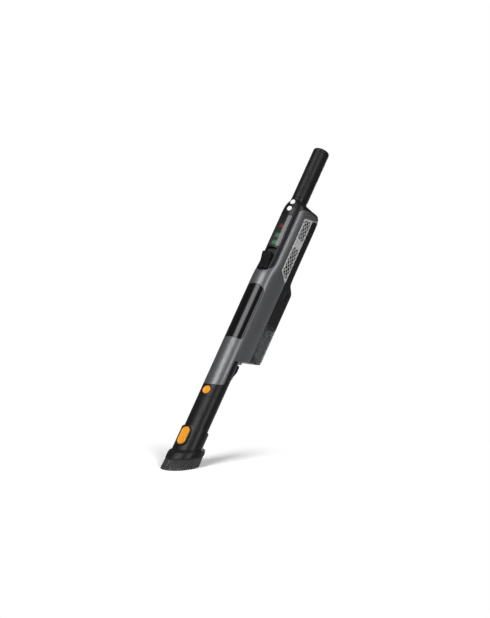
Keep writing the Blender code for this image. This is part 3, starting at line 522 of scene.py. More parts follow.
def moulded_grain(name):
    """Height of a spark-eroded mould surface: rounded cells with a finer noise over them."""
    tree, come, go = new_group(name, [("Vector", "Vector", None), ("Scale", "Float", 2500.0)],
                               [("Height", "Float"), ("Cells", "Float")])
    cells = node(tree, "ShaderNodeTexVoronoi", {"Vector": come.outputs["Vector"], "Scale": come.outputs["Scale"]},
                 feature="SMOOTH_F1")
    fine = node(tree, "ShaderNodeTexNoise", {"Vector": come.outputs["Vector"], "Detail": 3.0, "Roughness": 0.6,
                                             "Scale": maths(tree, "MULTIPLY", come.outputs["Scale"], 2.3)})
    bowl = maths(tree, "MULTIPLY", cells.outputs["Distance"], 0.7)
    total = maths(tree, "ADD", bowl, maths(tree, "MULTIPLY", fine.outputs[0], 0.5))
    tree.links.new(total, go.inputs["Height"])
    tree.links.new(cells.outputs["Distance"], go.inputs["Cells"])
    return tree


def uneven_tone(name):
    """Slow drift and handling smears: Tone swings about 1, Smear is 0 to 1 and streaky along z."""
    tree, come, go = new_group(name, [("Vector", "Vector", None), ("Swing", "Float", 0.06)],
                               [("Tone", "Float"), ("Smear", "Float")])
    slow = node(tree, "ShaderNodeTexNoise", {"Vector": come.outputs["Vector"], "Scale": 22.0, "Detail": 4.0})
    squeezed = node(tree, "ShaderNodeMapping", {"Vector": come.outputs["Vector"], "Scale": (90.0, 90.0, 24.0)})
    smear = node(tree, "ShaderNodeTexNoise", {"Vector": squeezed.outputs[0], "Scale": 1.0, "Detail": 5.0,
                                              "Roughness": 0.62, "Distortion": 0.6})
    centred = maths(tree, "SUBTRACT", slow.outputs[0], 0.5)
    swing = maths(tree, "MULTIPLY", centred, maths(tree, "MULTIPLY", come.outputs["Swing"], 2.0))
    tree.links.new(maths(tree, "ADD", swing, 1.0), go.inputs["Tone"])
    tree.links.new(stretch(tree, smear.outputs[0], 0.42, 0.72), go.inputs["Smear"])
    return tree


def edge_wear_and_highlight_mask(name):
    """Mask of convex places of the mesh, broken up by noise: rubbed edges, and painted highlights on edges where a
    finish turns it up, as on the slider's ribs.
    """
    tree, come, go = new_group(name, [("Vector", "Vector", None), ("Amount", "Float", 0.5)], [("Mask", "Float")])
    shape = node(tree, "ShaderNodeNewGeometry")
    convex = stretch(tree, shape.outputs["Pointiness"], 0.515, 0.60)
    noise = node(tree, "ShaderNodeTexNoise", {"Vector": come.outputs["Vector"], "Scale": 420.0, "Detail": 6.0})
    broken = stretch(tree, noise.outputs[0], 0.40, 0.62)
    mask = maths(tree, "MULTIPLY", maths(tree, "MULTIPLY", convex, broken), come.outputs["Amount"], clamp=True)
    tree.links.new(mask, go.inputs["Mask"])
    return tree


def light_dust(name):
    """Mask of fine dust specks and a thin film, thicker on surfaces that face away from the floor."""
    tree, come, go = new_group(name, [("Vector", "Vector", None), ("Amount", "Float", 0.3)], [("Mask", "Float")])
    shape = node(tree, "ShaderNodeNewGeometry")
    split = node(tree, "ShaderNodeSeparateXYZ", {"Vector": shape.outputs["Normal"]})
    up = stretch(tree, split.outputs["Z"], -0.4, 1.0, 0.25, 1.0)
    specks = node(tree, "ShaderNodeTexVoronoi", {"Vector": come.outputs["Vector"], "Scale": 260.0})
    dots = stretch(tree, specks.outputs["Distance"], 0.02, 0.10, 1.0, 0.0)
    film = node(tree, "ShaderNodeTexNoise", {"Vector": come.outputs["Vector"], "Scale": 60.0, "Detail": 6.0})
    haze = stretch(tree, film.outputs[0], 0.45, 0.8, 0.0, 0.35)
    both = maths(tree, "MULTIPLY", maths(tree, "ADD", dots, haze), up)
    tree.links.new(maths(tree, "MULTIPLY", both, come.outputs["Amount"], clamp=True), go.inputs["Mask"])
    return tree


def paint_flake(name):
    """Metal flakes in a lacquer: each small cell has its own brightness about 1."""
    tree, come, go = new_group(name, [("Vector", "Vector", None), ("Scale", "Float", 3200.0),
                                      ("Sparkle", "Float", 0.2)], [("Tone", "Float"), ("Height", "Float")])
    cells = node(tree, "ShaderNodeTexVoronoi", {"Vector": come.outputs["Vector"], "Scale": come.outputs["Scale"]})
    split = node(tree, "ShaderNodeSeparateColor", {"Color": cells.outputs["Color"]})
    swing = maths(tree, "MULTIPLY", maths(tree, "SUBTRACT", split.outputs[0], 0.5), come.outputs["Sparkle"])
    tree.links.new(maths(tree, "ADD", maths(tree, "MULTIPLY", swing, 2.0), 1.0), go.inputs["Tone"])
    tree.links.new(split.outputs[1], go.inputs["Height"])
    return tree


def effect(tree, name, make, vector, **values):
    """A shared group placed in a material, with its own values."""
    made = node(tree, "ShaderNodeGroup", None, node_tree=group_once(name, make))
    tree.links.new(vector, made.inputs["Vector"])
    for label, value in values.items():
        made.inputs[label.title()].default_value = value
    return made.outputs


def fresh(name):
    """A new material with its tree, its Principled BSDF and object coordinates."""
    made = bpy.data.materials.new(name)
    made.use_nodes = True
    tree = made.node_tree
    shader = tree.nodes["Principled BSDF"]
    place = node(tree, "ShaderNodeTexCoord").outputs["Object"]
    return made, tree, shader, place


def scaled_colour(tree, colour, factor):
    """A colour times a value socket."""
    made = node(tree, "ShaderNodeVectorMath", {0: tuple(colour)[:3]}, operation="SCALE")
    tree.links.new(factor, made.inputs["Scale"])
    return made.outputs[0]


def bump(tree, shader, height, distance, strength=1.0):
    made = node(tree, "ShaderNodeBump", {"Height": height, "Distance": distance, "Strength": strength})
    tree.links.new(made.outputs[0], shader.inputs["Normal"])


def moulded(name, colour, roughness, grain=2600.0, depth=0.00001, swing=0.06, wear_and_highlight=0.35, dust=0.25, metallic=0.0,
            coat=0.0, coat_roughness=0.12, sparkle=0.0, specular=0.38, wear_and_highlight_colour=None, smear=0.10):
    """Moulded or lacquered plastic: grain in the bump, drifting tone, smears in the roughness, lighter convex edges
    (rubbed wear, and on the slider painted highlights), dust and, where wanted, metal flakes."""
    made, tree, shader, place = fresh(name)
    tone = effect(tree, "Uneven Tone", uneven_tone, place, swing=swing)
    height = effect(tree, "Moulded Grain", moulded_grain, place, scale=grain)["Height"]
    brightness = tone["Tone"]
    if sparkle:
        flakes = effect(tree, "Paint Flake", paint_flake, place, sparkle=sparkle)
        brightness = maths(tree, "MULTIPLY", brightness, flakes["Tone"])
    body = scaled_colour(tree, colour, brightness)
    # lighter convex edges: rubbed wear on most finishes; on the slider, a painted highlight
    if wear_and_highlight:
        rubbed_and_lit = effect(tree, "Edge Wear", edge_wear_and_highlight_mask, place, amount=wear_and_highlight)["Mask"]
        worn_and_lit_colour = wear_and_highlight_colour or [min(1.0, c * 2.2 + 0.05) for c in tuple(colour)[:3]]
        body = mixed(tree, rubbed_and_lit, body, worn_and_lit_colour)
    if dust:
        film = effect(tree, "Light Dust", light_dust, place, amount=dust)["Mask"]
        body = mixed(tree, film, body, (0.20, 0.195, 0.19))
    tree.links.new(body, shader.inputs["Base Color"])
    rough = maths(tree, "MULTIPLY", tone["Smear"], smear)
    tree.links.new(maths(tree, "ADD", rough, roughness - smear / 2, clamp=True), shader.inputs["Roughness"])
    bump(tree, shader, height, depth)
    shader.inputs["Metallic"].default_value = metallic
    shader.inputs["Coat Weight"].default_value = coat
    shader.inputs["Coat Roughness"].default_value = coat_roughness
    shader.inputs["Specular IOR Level"].default_value = specular
    return made


def display_finish(name, finish):
    """Smoked window: dark glossy face with three lamps that shine through it as soft spots."""
    made, tree, shader, place = fresh(name)
    tone = effect(tree, "Uneven Tone", uneven_tone, place, swing=0.10)
    low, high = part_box("display_lens")
    height = node(tree, "ShaderNodeSeparateXYZ", {"Vector": place}).outputs["Z"]
    upper = stretch(tree, height, low.z, high.z)
    face = mixed(tree, upper, finish.window_low, finish.window_high)
    glow = None
    for lamp, colour in (("status_led_red", finish.lamp_red), ("charge_led_upper", finish.lamp_green),
                         ("charge_led_lower", finish.lamp_green)):
        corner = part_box(lamp)
        centre = (corner[0] + corner[1]) / 2
        moved = node(tree, "ShaderNodeVectorMath", {0: place, 1: tuple(centre)}, operation="SUBTRACT").outputs[0]
        flat = node(tree, "ShaderNodeVectorMath", {0: moved, 1: (0.8, 0.0, 1.0)}, operation="MULTIPLY").outputs[0]
        length = node(tree, "ShaderNodeVectorMath", {0: flat}, operation="LENGTH").outputs["Value"]
        spot = stretch(tree, length, 0.0012, 0.0082, 1.0, 0.0)
        spot = maths(tree, "POWER", spot, 1.6)
        light = scaled_colour(tree, colour, spot)
        if glow is None:
            glow = light
        else:
            glow = node(tree, "ShaderNodeVectorMath", {0: glow, 1: light}, operation="ADD").outputs[0]
    tinted = node(tree, "ShaderNodeVectorMath", {0: scaled_colour(tree, (0.5, 0.5, 0.5), tone["Tone"])},
                  operation="SCALE")
    tinted.inputs["Scale"].default_value = 2.0
    body = node(tree, "ShaderNodeVectorMath", {0: face, 1: tinted.outputs[0]}, operation="MULTIPLY").outputs[0]
    tree.links.new(body, shader.inputs["Base Color"])
    tree.links.new(glow, shader.inputs["Emission Color"])
    shader.inputs["Emission Strength"].default_value = 0.35
    rough = maths(tree, "MULTIPLY", tone["Smear"], 0.08)
    tree.links.new(maths(tree, "ADD", rough, 0.14), shader.inputs["Roughness"])
    ripple = node(tree, "ShaderNodeTexNoise", {"Vector": place, "Scale": 60.0, "Detail": 1.0}).outputs[0]
    bump(tree, shader, ripple, 0.00002)
    shader.inputs["Coat Weight"].default_value = 0.10
    shader.inputs["Coat Roughness"].default_value = 0.12
    shader.inputs["Specular IOR Level"].default_value = 0.25
    return made


def clear_finish(name, colour, roughness=0.05, ior=1.46):
    """Clear smoked plastic with faint handling smears and a very light flow ripple."""
    made, tree, shader, place = fresh(name)
    tone = effect(tree, "Uneven Tone", uneven_tone, place, swing=0.04)
    tree.links.new(scaled_colour(tree, colour, tone["Tone"]), shader.inputs["Base Color"])
    rough = maths(tree, "MULTIPLY", tone["Smear"], 0.10)
    tree.links.new(maths(tree, "ADD", rough, roughness), shader.inputs["Roughness"])
    ripple = node(tree, "ShaderNodeTexNoise", {"Vector": place, "Scale": 70.0, "Detail": 2.0}).outputs[0]
    bump(tree, shader, ripple, 0.00006)
    shader.inputs["Transmission Weight"].default_value = 1.0
    shader.inputs["IOR"].default_value = ior
    return made


def metal_finish(name, colour, roughness, turned=True):
    """Bare metal with fine turning marks round z, and a slight stain."""
    made, tree, shader, place = fresh(name)
    tone = effect(tree, "Uneven Tone", uneven_tone, place, swing=0.10)
    tree.links.new(scaled_colour(tree, colour, tone["Tone"]), shader.inputs["Base Color"])
    rough = maths(tree, "MULTIPLY", tone["Smear"], 0.15)
    tree.links.new(maths(tree, "ADD", rough, roughness - 0.05), shader.inputs["Roughness"])
    marks = node(tree, "ShaderNodeTexWave", {"Vector": place, "Scale": 900.0, "Distortion": 1.5, "Detail": 2.0},
                 bands_direction="Z" if turned else "X")
    bump(tree, shader, marks.outputs[1], 0.000004)
    shader.inputs["Metallic"].default_value = 1.0
    return made


def woven_metal(name, colour):
    """Fine filter mesh: wires one way and the other, with dark holes between."""
    made, tree, shader, place = fresh(name)
    waves = [node(tree, "ShaderNodeTexWave", {"Vector": place, "Scale": 620.0}, bands_direction=d).outputs[1]
             for d in ("X", "Z")]
    wires = maths(tree, "MAXIMUM", *waves)
    solid = stretch(tree, wires, 0.45, 0.7)
    tree.links.new(mixed(tree, solid, (0.02, 0.02, 0.02), colour), shader.inputs["Base Color"])
    tree.links.new(maths(tree, "ADD", maths(tree, "MULTIPLY", solid, -0.4), 0.75), shader.inputs["Roughness"])
    tree.links.new(solid, shader.inputs["Metallic"])
    bump(tree, shader, wires, 0.00008)
    return made


def fibre_finish(name, colour, scale=1400.0, depth=0.0001):
    """Matt fibrous or porous stuff: filter paper and foam."""
    made, tree, shader, place = fresh(name)
    noise = node(tree, "ShaderNodeTexNoise", {"Vector": place, "Scale": scale, "Detail": 8.0, "Roughness": 0.7})
    pores = node(tree, "ShaderNodeTexVoronoi", {"Vector": place, "Scale": scale * 0.7})
    tone = stretch(tree, noise.outputs[0], 0.3, 0.7, 0.75, 1.1)
    tree.links.new(scaled_colour(tree, colour, tone), shader.inputs["Base Color"])
    both = maths(tree, "ADD", noise.outputs[0], pores.outputs["Distance"])
    bump(tree, shader, both, depth)
    shader.inputs["Roughness"].default_value = 0.92
    return made


def board_finish(name, colour):
    """Circuit board: green lacquer with paler copper tracks under it."""
    made, tree, shader, place = fresh(name)
    bricks = node(tree, "ShaderNodeTexBrick", {"Vector": place, "Scale": 260.0, "Mortar Size": 0.03,
                                               "Color1": (0, 0, 0, 1), "Color2": (0.15, 0.15, 0.15, 1),
                                               "Mortar": (1, 1, 1, 1)})
    track = node(tree, "ShaderNodeSeparateColor", {"Color": bricks.outputs["Color"]}).outputs[0]
    paler = [c * 1.9 + 0.02 for c in tuple(colour)[:3]]
    tree.links.new(mixed(tree, track, colour, paler), shader.inputs["Base Color"])
    bump(tree, shader, track, 0.00003)
    shader.inputs["Roughness"].default_value = 0.35
    return made


def lamp_finish(name, colour, strength=1.2):
    """A small lamp body: tinted epoxy that shines a little."""
    made, tree, shader, place = fresh(name)
    grain = effect(tree, "Moulded Grain", moulded_grain, place, scale=1500.0)["Height"]
    tone = stretch(tree, grain, 0.0, 1.0, 0.8, 1.1)
    tree.links.new(scaled_colour(tree, colour, tone), shader.inputs["Base Color"])
    shader.inputs["Emission Color"].default_value = rgba(colour)
    shader.inputs["Emission Strength"].default_value = strength
    shader.inputs["Roughness"].default_value = 0.3
    bump(tree, shader, grain, 0.00001)
    return made


def bristle_finish(name, root, tip):
    """Nylon filaments: dark, turning pale grey near the cut tips, each one a little different."""
    made, tree, shader, place = fresh(name)
    share = node(tree, "ShaderNodeAttribute", None, attribute_name="along").outputs["Fac"]
    each = node(tree, "ShaderNodeTexNoise", {"Vector": place, "Scale": 900.0, "Detail": 2.0}).outputs[0]
    shift = maths(tree, "MULTIPLY", maths(tree, "SUBTRACT", each, 0.5), 0.35)
    paler = stretch(tree, maths(tree, "ADD", share, shift), 0.66, 1.0)
    colour = mixed(tree, paler, root, tip)
    tree.links.new(colour, shader.inputs["Base Color"])
    rough = maths(tree, "MULTIPLY", paler, 0.25)
    tree.links.new(maths(tree, "ADD", rough, 0.38), shader.inputs["Roughness"])
    fine = node(tree, "ShaderNodeTexNoise", {"Vector": place, "Scale": 5000.0}).outputs[0]
    bump(tree, shader, fine, 0.00001)
    return made


def finishes():
    """All finishes by name, made once."""
    look = bpy.context.scene.vacuum_finish
    made = {m.name: m for m in bpy.data.materials}
    recipes = {
        "shell_lacquer": lambda n: moulded(n, look.shell, 0.42, metallic=0.45, coat=0.15, coat_roughness=0.25,
                                           sparkle=0.16, wear_and_highlight=0.18, dust=0.03, depth=0.000004, swing=0.05,
                                           wear_and_highlight_colour=(0.42, 0.42, 0.43)),
        "panel_black": lambda n: moulded(n, look.panel, 0.36, depth=0.000006, dust=0.03, wear_and_highlight=0.12,
                                          specular=0.20),
        "satin_black": lambda n: moulded(n, look.black, 0.42, depth=0.000010, dust=0.05, wear_and_highlight=0.15,
                                          specular=0.20),
        # the slider's large edge amount is a painted highlight: its rib edges are made lighter to stand in for the
        # light streaks on the ribs
        "slider_black": lambda n: moulded(n, look.black, 0.26, grain=2600.0, depth=0.000002, dust=0.02, wear_and_highlight=0.80,
                                           specular=0.26),
        "nozzle_black": lambda n: moulded(n, look.black, 0.42, grain=2100.0, depth=0.000009, dust=0.05, wear_and_highlight=0.18,
                                           specular=0.18),
        "grip_black": lambda n: moulded(n, look.grip, 0.50, grain=1500.0, depth=0.00002, dust=0.05, wear_and_highlight=0.10,
                                        smear=0.16, specular=0.18),
        "badge_gloss": lambda n: moulded(n, look.badge, 0.20, grain=1200.0, depth=0.0000008, dust=0.02, wear_and_highlight=0.05,
                                         coat=0.10, coat_roughness=0.14, smear=0.06, specular=0.22),
        "silver_satin": lambda n: moulded(n, look.silver, 0.33, metallic=0.35, sparkle=0.10, dust=0.04, wear_and_highlight=0.12,
                                          depth=0.000005, wear_and_highlight_colour=(0.35, 0.35, 0.35), coat=0.2),
        "orange_key": lambda n: moulded(n, look.orange, 0.34, dust=0.05, wear_and_highlight=0.12, depth=0.000006, swing=0.04,
                                        wear_and_highlight_colour=(0.98, 0.62, 0.22)),
        "white_key": lambda n: moulded(n, look.white, 0.32, dust=0.03, wear_and_highlight=0.0, depth=0.000004, swing=0.03),
        "inner_black": lambda n: moulded(n, look.black, 0.5, wear_and_highlight=0.0, dust=0.1),
        "soft_rubber": lambda n: moulded(n, (0.02, 0.02, 0.02), 0.75, grain=1100.0, depth=0.00003, wear_and_highlight=0.0),
        "cell_wrap": lambda n: moulded(n, (0.05, 0.22, 0.42), 0.32, grain=700.0, depth=0.00001, wear_and_highlight=0.0),
        "display_window": lambda n: display_finish(n, look),
        "clear_cup": lambda n: clear_finish(n, look.cup),
        "steel": lambda n: metal_finish(n, (0.60, 0.60, 0.61), 0.28),
        "copper": lambda n: metal_finish(n, (0.72, 0.36, 0.18), 0.35),
        "filter_mesh": lambda n: woven_metal(n, (0.62, 0.62, 0.63)),
        "filter_paper": lambda n: fibre_finish(n, (0.80, 0.79, 0.74)),
        "foam": lambda n: fibre_finish(n, (0.035, 0.035, 0.038), scale=900.0, depth=0.0004),
        "circuit_board": lambda n: board_finish(n, (0.03, 0.16, 0.07)),
        "lamp_red": lambda n: lamp_finish(n, look.lamp_red),
        "lamp_green": lambda n: lamp_finish(n, look.lamp_green),
        "bristle": lambda n: bristle_finish(n, look.bristle_root, look.bristle_tip),
    }
    return lambda name: made.get(name) or recipes[name](name)


def finish_of(name):
    return finishes()(name)


# ---------------------------------------------------------------- grip and front
def make_grip():
    """Turned tube: a closed (radius, z) profile with rounded corners; the cap's profile ends on the axis."""
    low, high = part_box("grip_tube")
    radius = (high.x - low.x) / 2
    wall = rounded(((radius - WALL, low.z), (radius, low.z), (radius, high.z), (radius - WALL, high.z)), 0.0003)
    tube = mesh_piece("grip_sleeve", [lathe(np.concatenate((wall, wall[:1])), (0, 0, 0), steps=96)], turn_out=True)
    dress(tube, "housing", "grip_plastic", finish_of("grip_black"), "grip_tube")
    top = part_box("grip_end_cap")[1].z
    t = np.linspace(0, math.pi / 2, 9)
    edge, plug = 0.0032, radius - WALL - GAP
    disc = 0.0098
    profile = [(0, top - 0.012), (plug - 0.0004, top - 0.012), (plug, top - 0.0116), (plug, high.z + 0.0003),
               (radius - 0.0004, high.z + 0.0003), (radius - 0.0001, high.z + 0.0004), (radius, high.z + 0.0007)]
    profile += [(radius - edge * (1 - math.cos(a)), top - edge * (1 - math.sin(a))) for a in t]
    profile += [(disc + 0.0009, top), (disc + 0.0006, top - 0.0001), (disc + 0.0004, top - 0.0007),
                (disc + 0.0002, top - 0.0008), (disc, top - 0.0007), (disc - 0.0002, top - 0.0002),
                (disc - 0.0006, top - 0.0001), (disc - 0.0012, top - 0.0001), (0.0004, top - 0.00025),
                (0, top - 0.00025)]
    cap = mesh_piece("grip_cap", [lathe(np.array(profile), (0, 0, 0), steps=96)], turn_out=True)
    dress(cap, "housing", "grip_plastic", finish_of("grip_black"), "grip_end_cap")


def panel_side(z, gap=0.0):
    """(k, z) of the front panel's side border: x = half width, or y = collar y where the body is narrower."""
    z = np.asarray(z, float)
    by_x = k_where(0, PANEL_HALF_W - gap, z, high=9.0)
    by_y = k_where(1, COLLAR_Y - gap, z)
    return np.stack((np.minimum(by_x, by_y), z), -1)


def panel_foot(turns, gap=0.0):
    """(k, z) on the U-shaped foot: x = half width sin t, z = foot + curve (1 - cos t)."""
    half, foot = PANEL_HALF_W - gap, PANEL_FOOT_Z + gap
    return on_front(half * np.sin(turns), foot + PANEL_CURVE * (1 - np.cos(turns)))


def collar_border(gap=0.0, steps=12, back_steps=24):
    """(k, z) of the border between shell and collar: a parabola from the panel's side round the corner, then a
    gentle climb to the back centre."""
    start = panel_side(np.array([CORNER_Z]), gap)[0]
    bend = np.array((start[0] + 0.30, COLLAR_Z - 0.0075 + gap))
    end = np.array((start[0] + 2.8, COLLAR_Z - 0.0050 + gap))
    t = np.linspace(0, 1, steps + 1)[:, None]
    turn = start * (1 - t) ** 2 + bend * 2 * t * (1 - t) + end * t * t
    return chain(turn, line(end, (BACK, COLLAR_Z + gap), back_steps))


def make_front_panel():
    """Coons patches over the U-shaped field and round the collar, with a wall behind them, and flared holes for
    the window, the slider and the two keys."""
    turn = math.radians(52)
    foot = panel_foot(np.linspace(0, turn, 15), GAP)
    corner = panel_foot(np.linspace(turn, math.pi / 2, 10), GAP)
    side_z = np.linspace(PANEL_FOOT_Z + PANEL_CURVE + GAP, CORNER_Z, 76)
    right = chain(corner, panel_side(side_z, GAP))
    top = line((0, CORNER_Z), right[-1], 14)
    left = line((0, PANEL_FOOT_Z + GAP), (0, CORNER_Z), len(right) - 1)
    collar_low = chain(top, collar_border(GAP))
    collar_high = np.stack((collar_low[:, 0], np.full(len(collar_low), COLLAR_TOP_Z)), -1)
    patches = [coons(foot, top, left, right), ruled(collar_low, collar_high, 16)]
    panel = thicken(mesh_piece("control_panel", both_sides([on_body(p) for p in patches])))
    cutters = []
    low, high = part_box("display_lens")
    window = rounded(rectangle(low.x - GAP, high.x + GAP, low.z - GAP, high.z + GAP), 0.0042, steps=8)
    pocket = rounded(rectangle(-0.0112, 0.0112, 0.4265, 0.4735), 0.0032, steps=8)
    cutters += [front_cutter(window, 0.0003), front_cutter(pocket, 0.0006, 0.011)]
    for key in ("power_button", "mode_button"):
        low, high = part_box(key)
        radius = (high.x - low.x) / 2 + GAP
        cutters.append(front_cutter(circle(0, (low.z + high.z) / 2, radius, 48), 0.0004))
    carve(panel, cutters)
    dress(panel, "housing", "black_plastic", finish_of("panel_black"), "front_panel")


def make_display():
    """A rounded rectangle on the front surface: Coons patch between edges that meet in the middle of the corners."""
    low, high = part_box("display_lens")
    radius = 0.0042
    outline = lambda t, x, z: on_front(x + radius * np.cos(t), z + radius * np.sin(t))
    half, bottom_z, top_z = high.x - radius, low.z + radius, high.z - radius
    q = math.pi / 4
    bottom = chain(line((0, low.z), on_front(half, low.z), 8), outline(np.linspace(-2 * q, -q, 4), half, bottom_z))
    top = chain(line((0, high.z), on_front(half, high.z), 8), outline(np.linspace(2 * q, q, 4), half, top_z))
    side_z = np.linspace(bottom_z, top_z, 41)
    right = chain(outline(np.linspace(-q, 0, 4), half, bottom_z), on_front(np.full(41, high.x), side_z),
                  outline(np.linspace(0, q, 4), half, top_z))
    left = line((0, low.z), (0, high.z), len(right) - 1)
    window = mesh_piece("display_window", both_sides([on_body(coons(bottom, top, left, right))]))
    dress(thicken(window, 0.0016, 0.0003), "housing", "smoke_lens", finish_of("display_window"), "display_lens")


def key_disc(name, node_name, core=0.0, dish=0.0):
    """A round or long key: the outline shrinks over a rounded rim and then over a shallow dish to the middle."""
    low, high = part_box(node_name)
    z, radius = (low.z + high.z) / 2, (high.x - low.x) / 2
    front, back = low.y - AXIS_Y, high.y - AXIS_Y
    edge = 0.0009
    t = np.linspace(0, math.pi / 2, 7)
    rows = [(0.0, back), (radius - 0.0004, back), (radius, back - 0.0004), (radius, front + edge * 1.6)]
    rows += [(radius - edge * (1 - math.cos(a)), front + edge * (1 - math.sin(a))) for a in t]
    flat = radius - edge
    rows += [(flat * s, front + dish * (1 - s * s)) for s in (0.96, 0.9, 0.78, 0.6, 0.4, 0.2, 0.0)]
    rings = [placed(stadium(z, max(r, 1e-6), core, 56), "Y", y) for r, y in rows]
    return mesh_piece(name, [closed(np.stack(rings))], fill=True, turn_out=True)


def make_keys():
    for name, nodes, body in (("power_key", "power_button", "power_button_body"),
                              ("mode_key", "mode_button", "mode_button_body")):
        dress(key_disc(name, nodes, dish=0.00025), body, "white_plastic", finish_of("white_key"), nodes)


def make_release_slider():
    """A wedge profile in (y, z), carried across x; ribs run up its ramp as a rounded square wave in x."""
    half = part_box("release_slider")[1].x
    corners = [(-0.0134, 0.4285), (-0.0172, 0.4285), (-0.0262, 0.4572), (-0.0254, 0.4600), (-0.0134, 0.4600)]
    ring = rounded(corners, (0.0004, 0.0012, 0.0010, 0.0010, 0.0004), steps=5)
    ramp = line(ring[13], ring[14], 24)[1:-1]
    ring = np.concatenate((ring[:14], ramp, ring[14:]))
    x = np.linspace(-1, 1, 141)
    rim = np.clip((np.abs(x) - 0.93) / 0.07, 0, 1)
    inset = 0.0011 * (1 - np.sqrt(1 - rim**2 * 0.999))
    wave = 0.5 - 0.5 * np.cos(x * 0.5 * 2 * math.pi * 5)
    groove = np.clip((wave - 0.35) / 0.3, 0, 1)
    groove = groove * groove * (3 - 2 * groove)
    groove = groove * (np.abs(x) < 0.84)
    up = np.clip((ring[:, 1] - 0.4305) / 0.002, 0, 1) * np.clip((0.4566 - ring[:, 1]) / 0.002, 0, 1)
    up = up * (ring[:, 0] < -0.0165)
    rows = np.stack([placed(grown(ring, -i), "X", half * at) for i, at in zip(inset, x)])
    slant = np.array((0.0, 0.954, 0.300))
    rows = rows + (groove[:, None] * up[None])[..., None] * slant * 0.0009
    wedge = mesh_piece("release_slider_cap", [closed(rows)], fill=True, turn_out=True)
    dress(wedge, "slider", "black_plastic", finish_of("slider_black"), "release_slider")


def make_return_spring():
    """Helix x = r cos 2 pi n s, y = centre + r sin 2 pi n s, z rising with s,
    carrying a round wire."""
    low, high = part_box("slider_spring")
    wire, turns = 0.00033, 8
    radius = (high.x - low.x) / 2 - wire
    y, start, end = (low.y + high.y) / 2 - AXIS_Y, low.z + wire, high.z - wire
    s = np.linspace(0, 1, turns * 20 + 1)
    t = 2 * math.pi * turns * s
    path = np.stack((radius * np.cos(t), y + radius * np.sin(t), start + (end - start) * s), -1)
    side = np.stack((np.cos(t), np.sin(t), np.zeros_like(t)), -1)
    up = np.broadcast_to((0.0, 0.0, 1.0), path.shape)
    a = np.arange(8) * math.pi / 4
    profile = np.stack((wire * np.cos(a), wire * np.sin(a)), -1)
    spring = mesh_piece("return_spring", [swept(path, side, up, profile)], fill=True, turn_out=True)
    dress(spring, "housing", "steel", finish_of("steel"), "slider_spring")
    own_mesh(spring)


# ---------------------------------------------------------------- shells
def badge_edge(gap=0.0):
    """Three edge pieces of the badge's right outline, from foot centre to top centre: foot, side, arch."""
    half, low, high = BADGE_HALF_W - gap, BADGE_LOW + gap, BADGE_HIGH - gap
    arch_w, arch_h, corner = half * 0.75, 0.012, 0.004
    t = np.linspace(0, math.pi / 2, 7)
    turn = on_front(half - corner + corner * np.sin(t), low + corner * (1 - np.cos(t)))
    foot = chain(line((0, low), turn[0], 14), turn)
    side_z = np.linspace(low + corner, high - arch_h, 61)
    side = on_front(np.full(61, half), side_z)
    t = np.linspace(0, math.pi / 2, 13)
    arch = on_front(half - arch_w * (1 - np.cos(t)), high - arch_h * (1 - np.sin(t)))
    return foot, side, chain(arch, line(arch[-1], (0, high), 7))


def make_front_shell():
    """Coons and ruled patches over the housing's outer form: neck, a field round the badge, the waist, the strip
    beside the panel and the shoulder; then their mirror images, and a wall behind all of it."""
    seam_k = lambda z: k_where(1, SEAM_Y - GAP, z)
    neck_k = float(k_where(1, NECK_SEAM_Y, 0.24))
    foot, side, arch = badge_edge()
    step_seam = float(seam_k(0.26))
    step = chain(on_plane(np.linspace(0, neck_k, 15), STEP_PLANE),
                 on_plane(np.linspace(neck_k, step_seam, 7), STEP_PLANE))
    seam = np.stack((seam_k(np.linspace(step[-1, 1], WAIST_Z, 61)), np.linspace(step[-1, 1], WAIST_Z, 61)), -1)
    waist_k = float(seam_k(WAIST_Z))
    waist = line((waist_k, WAIST_Z), (0, WAIST_Z), len(arch) - 1)
    inner, outer = chain(foot, side, arch), chain(step, seam, waist)
    field = ruled(outer, inner, 16)
    seam_plane = on_plane(np.linspace(0, neck_k, 15), NOZZLE_SEAM_PLANE, 0.0)
    neck = ruled(seam_plane, step[:15], 30)
    # waist: up to the panel's foot, the strip and the grille's foot
    u_foot = panel_foot(np.linspace(0, math.pi / 2, 11))
    strip_end = on_side(GRILLE_FRONT_Y, GRILLE_FOOT_PLANE[0] + GRILLE_FOOT_PLANE[1] * GRILLE_FRONT_Y)
    strip = line(u_foot[-1], strip_end, 4)
    y = np.linspace(GRILLE_FRONT_Y, SEAM_Y - GAP, 6)
    grille_foot = on_side(y, GRILLE_FOOT_PLANE[0] + GRILLE_FOOT_PLANE[1] * y)
    top = chain(u_foot, strip, grille_foot)
    low = waist[::-1]
    right_z = np.linspace(WAIST_Z, top[-1, 1], 7)
    right = np.stack((seam_k(right_z), right_z), -1)
    waist_field = coons(low, top, line((0, WAIST_Z), u_foot[0], 6), right)
    # strip between the panel and the grille
    rows = 61
    left_z = np.linspace(u_foot[-1, 1], 0.5480, rows)
    left = panel_side(left_z)
    right_z = np.linspace(strip_end[1], TOP_SEAM_PLANE[0] + TOP_SEAM_PLANE[1] * GRILLE_FRONT_Y, rows)
    strip_field = coons(strip, line(left[-1], on_side(GRILLE_FRONT_Y, right_z[-1]), 4), left,
                        on_side(np.full(rows, GRILLE_FRONT_Y), right_z))
    # shoulder
    grille_top = on_side(y, TOP_SEAM_PLANE[0] + TOP_SEAM_PLANE[1] * y)
    rear_top = on_plane(np.linspace(grille_top[-1, 0], BACK, 28), TOP_SEAM_PLANE)
    bottom = chain(strip_field[-1], grille_top, rear_top)
    left = panel_side(np.linspace(0.5480, CORNER_Z, 9))
    top = collar_border()
    right = line(bottom[-1], (BACK, COLLAR_Z), 8)
    shoulder = coons(bottom, top, left, right)
    patches = [field, neck, waist_field, strip_field, shoulder]
    shell = thicken(mesh_piece("body_shell", both_sides([on_body(p) for p in patches])))
    dress(shell, "housing", "grey_shell", finish_of("shell_lacquer"), "front_shell")


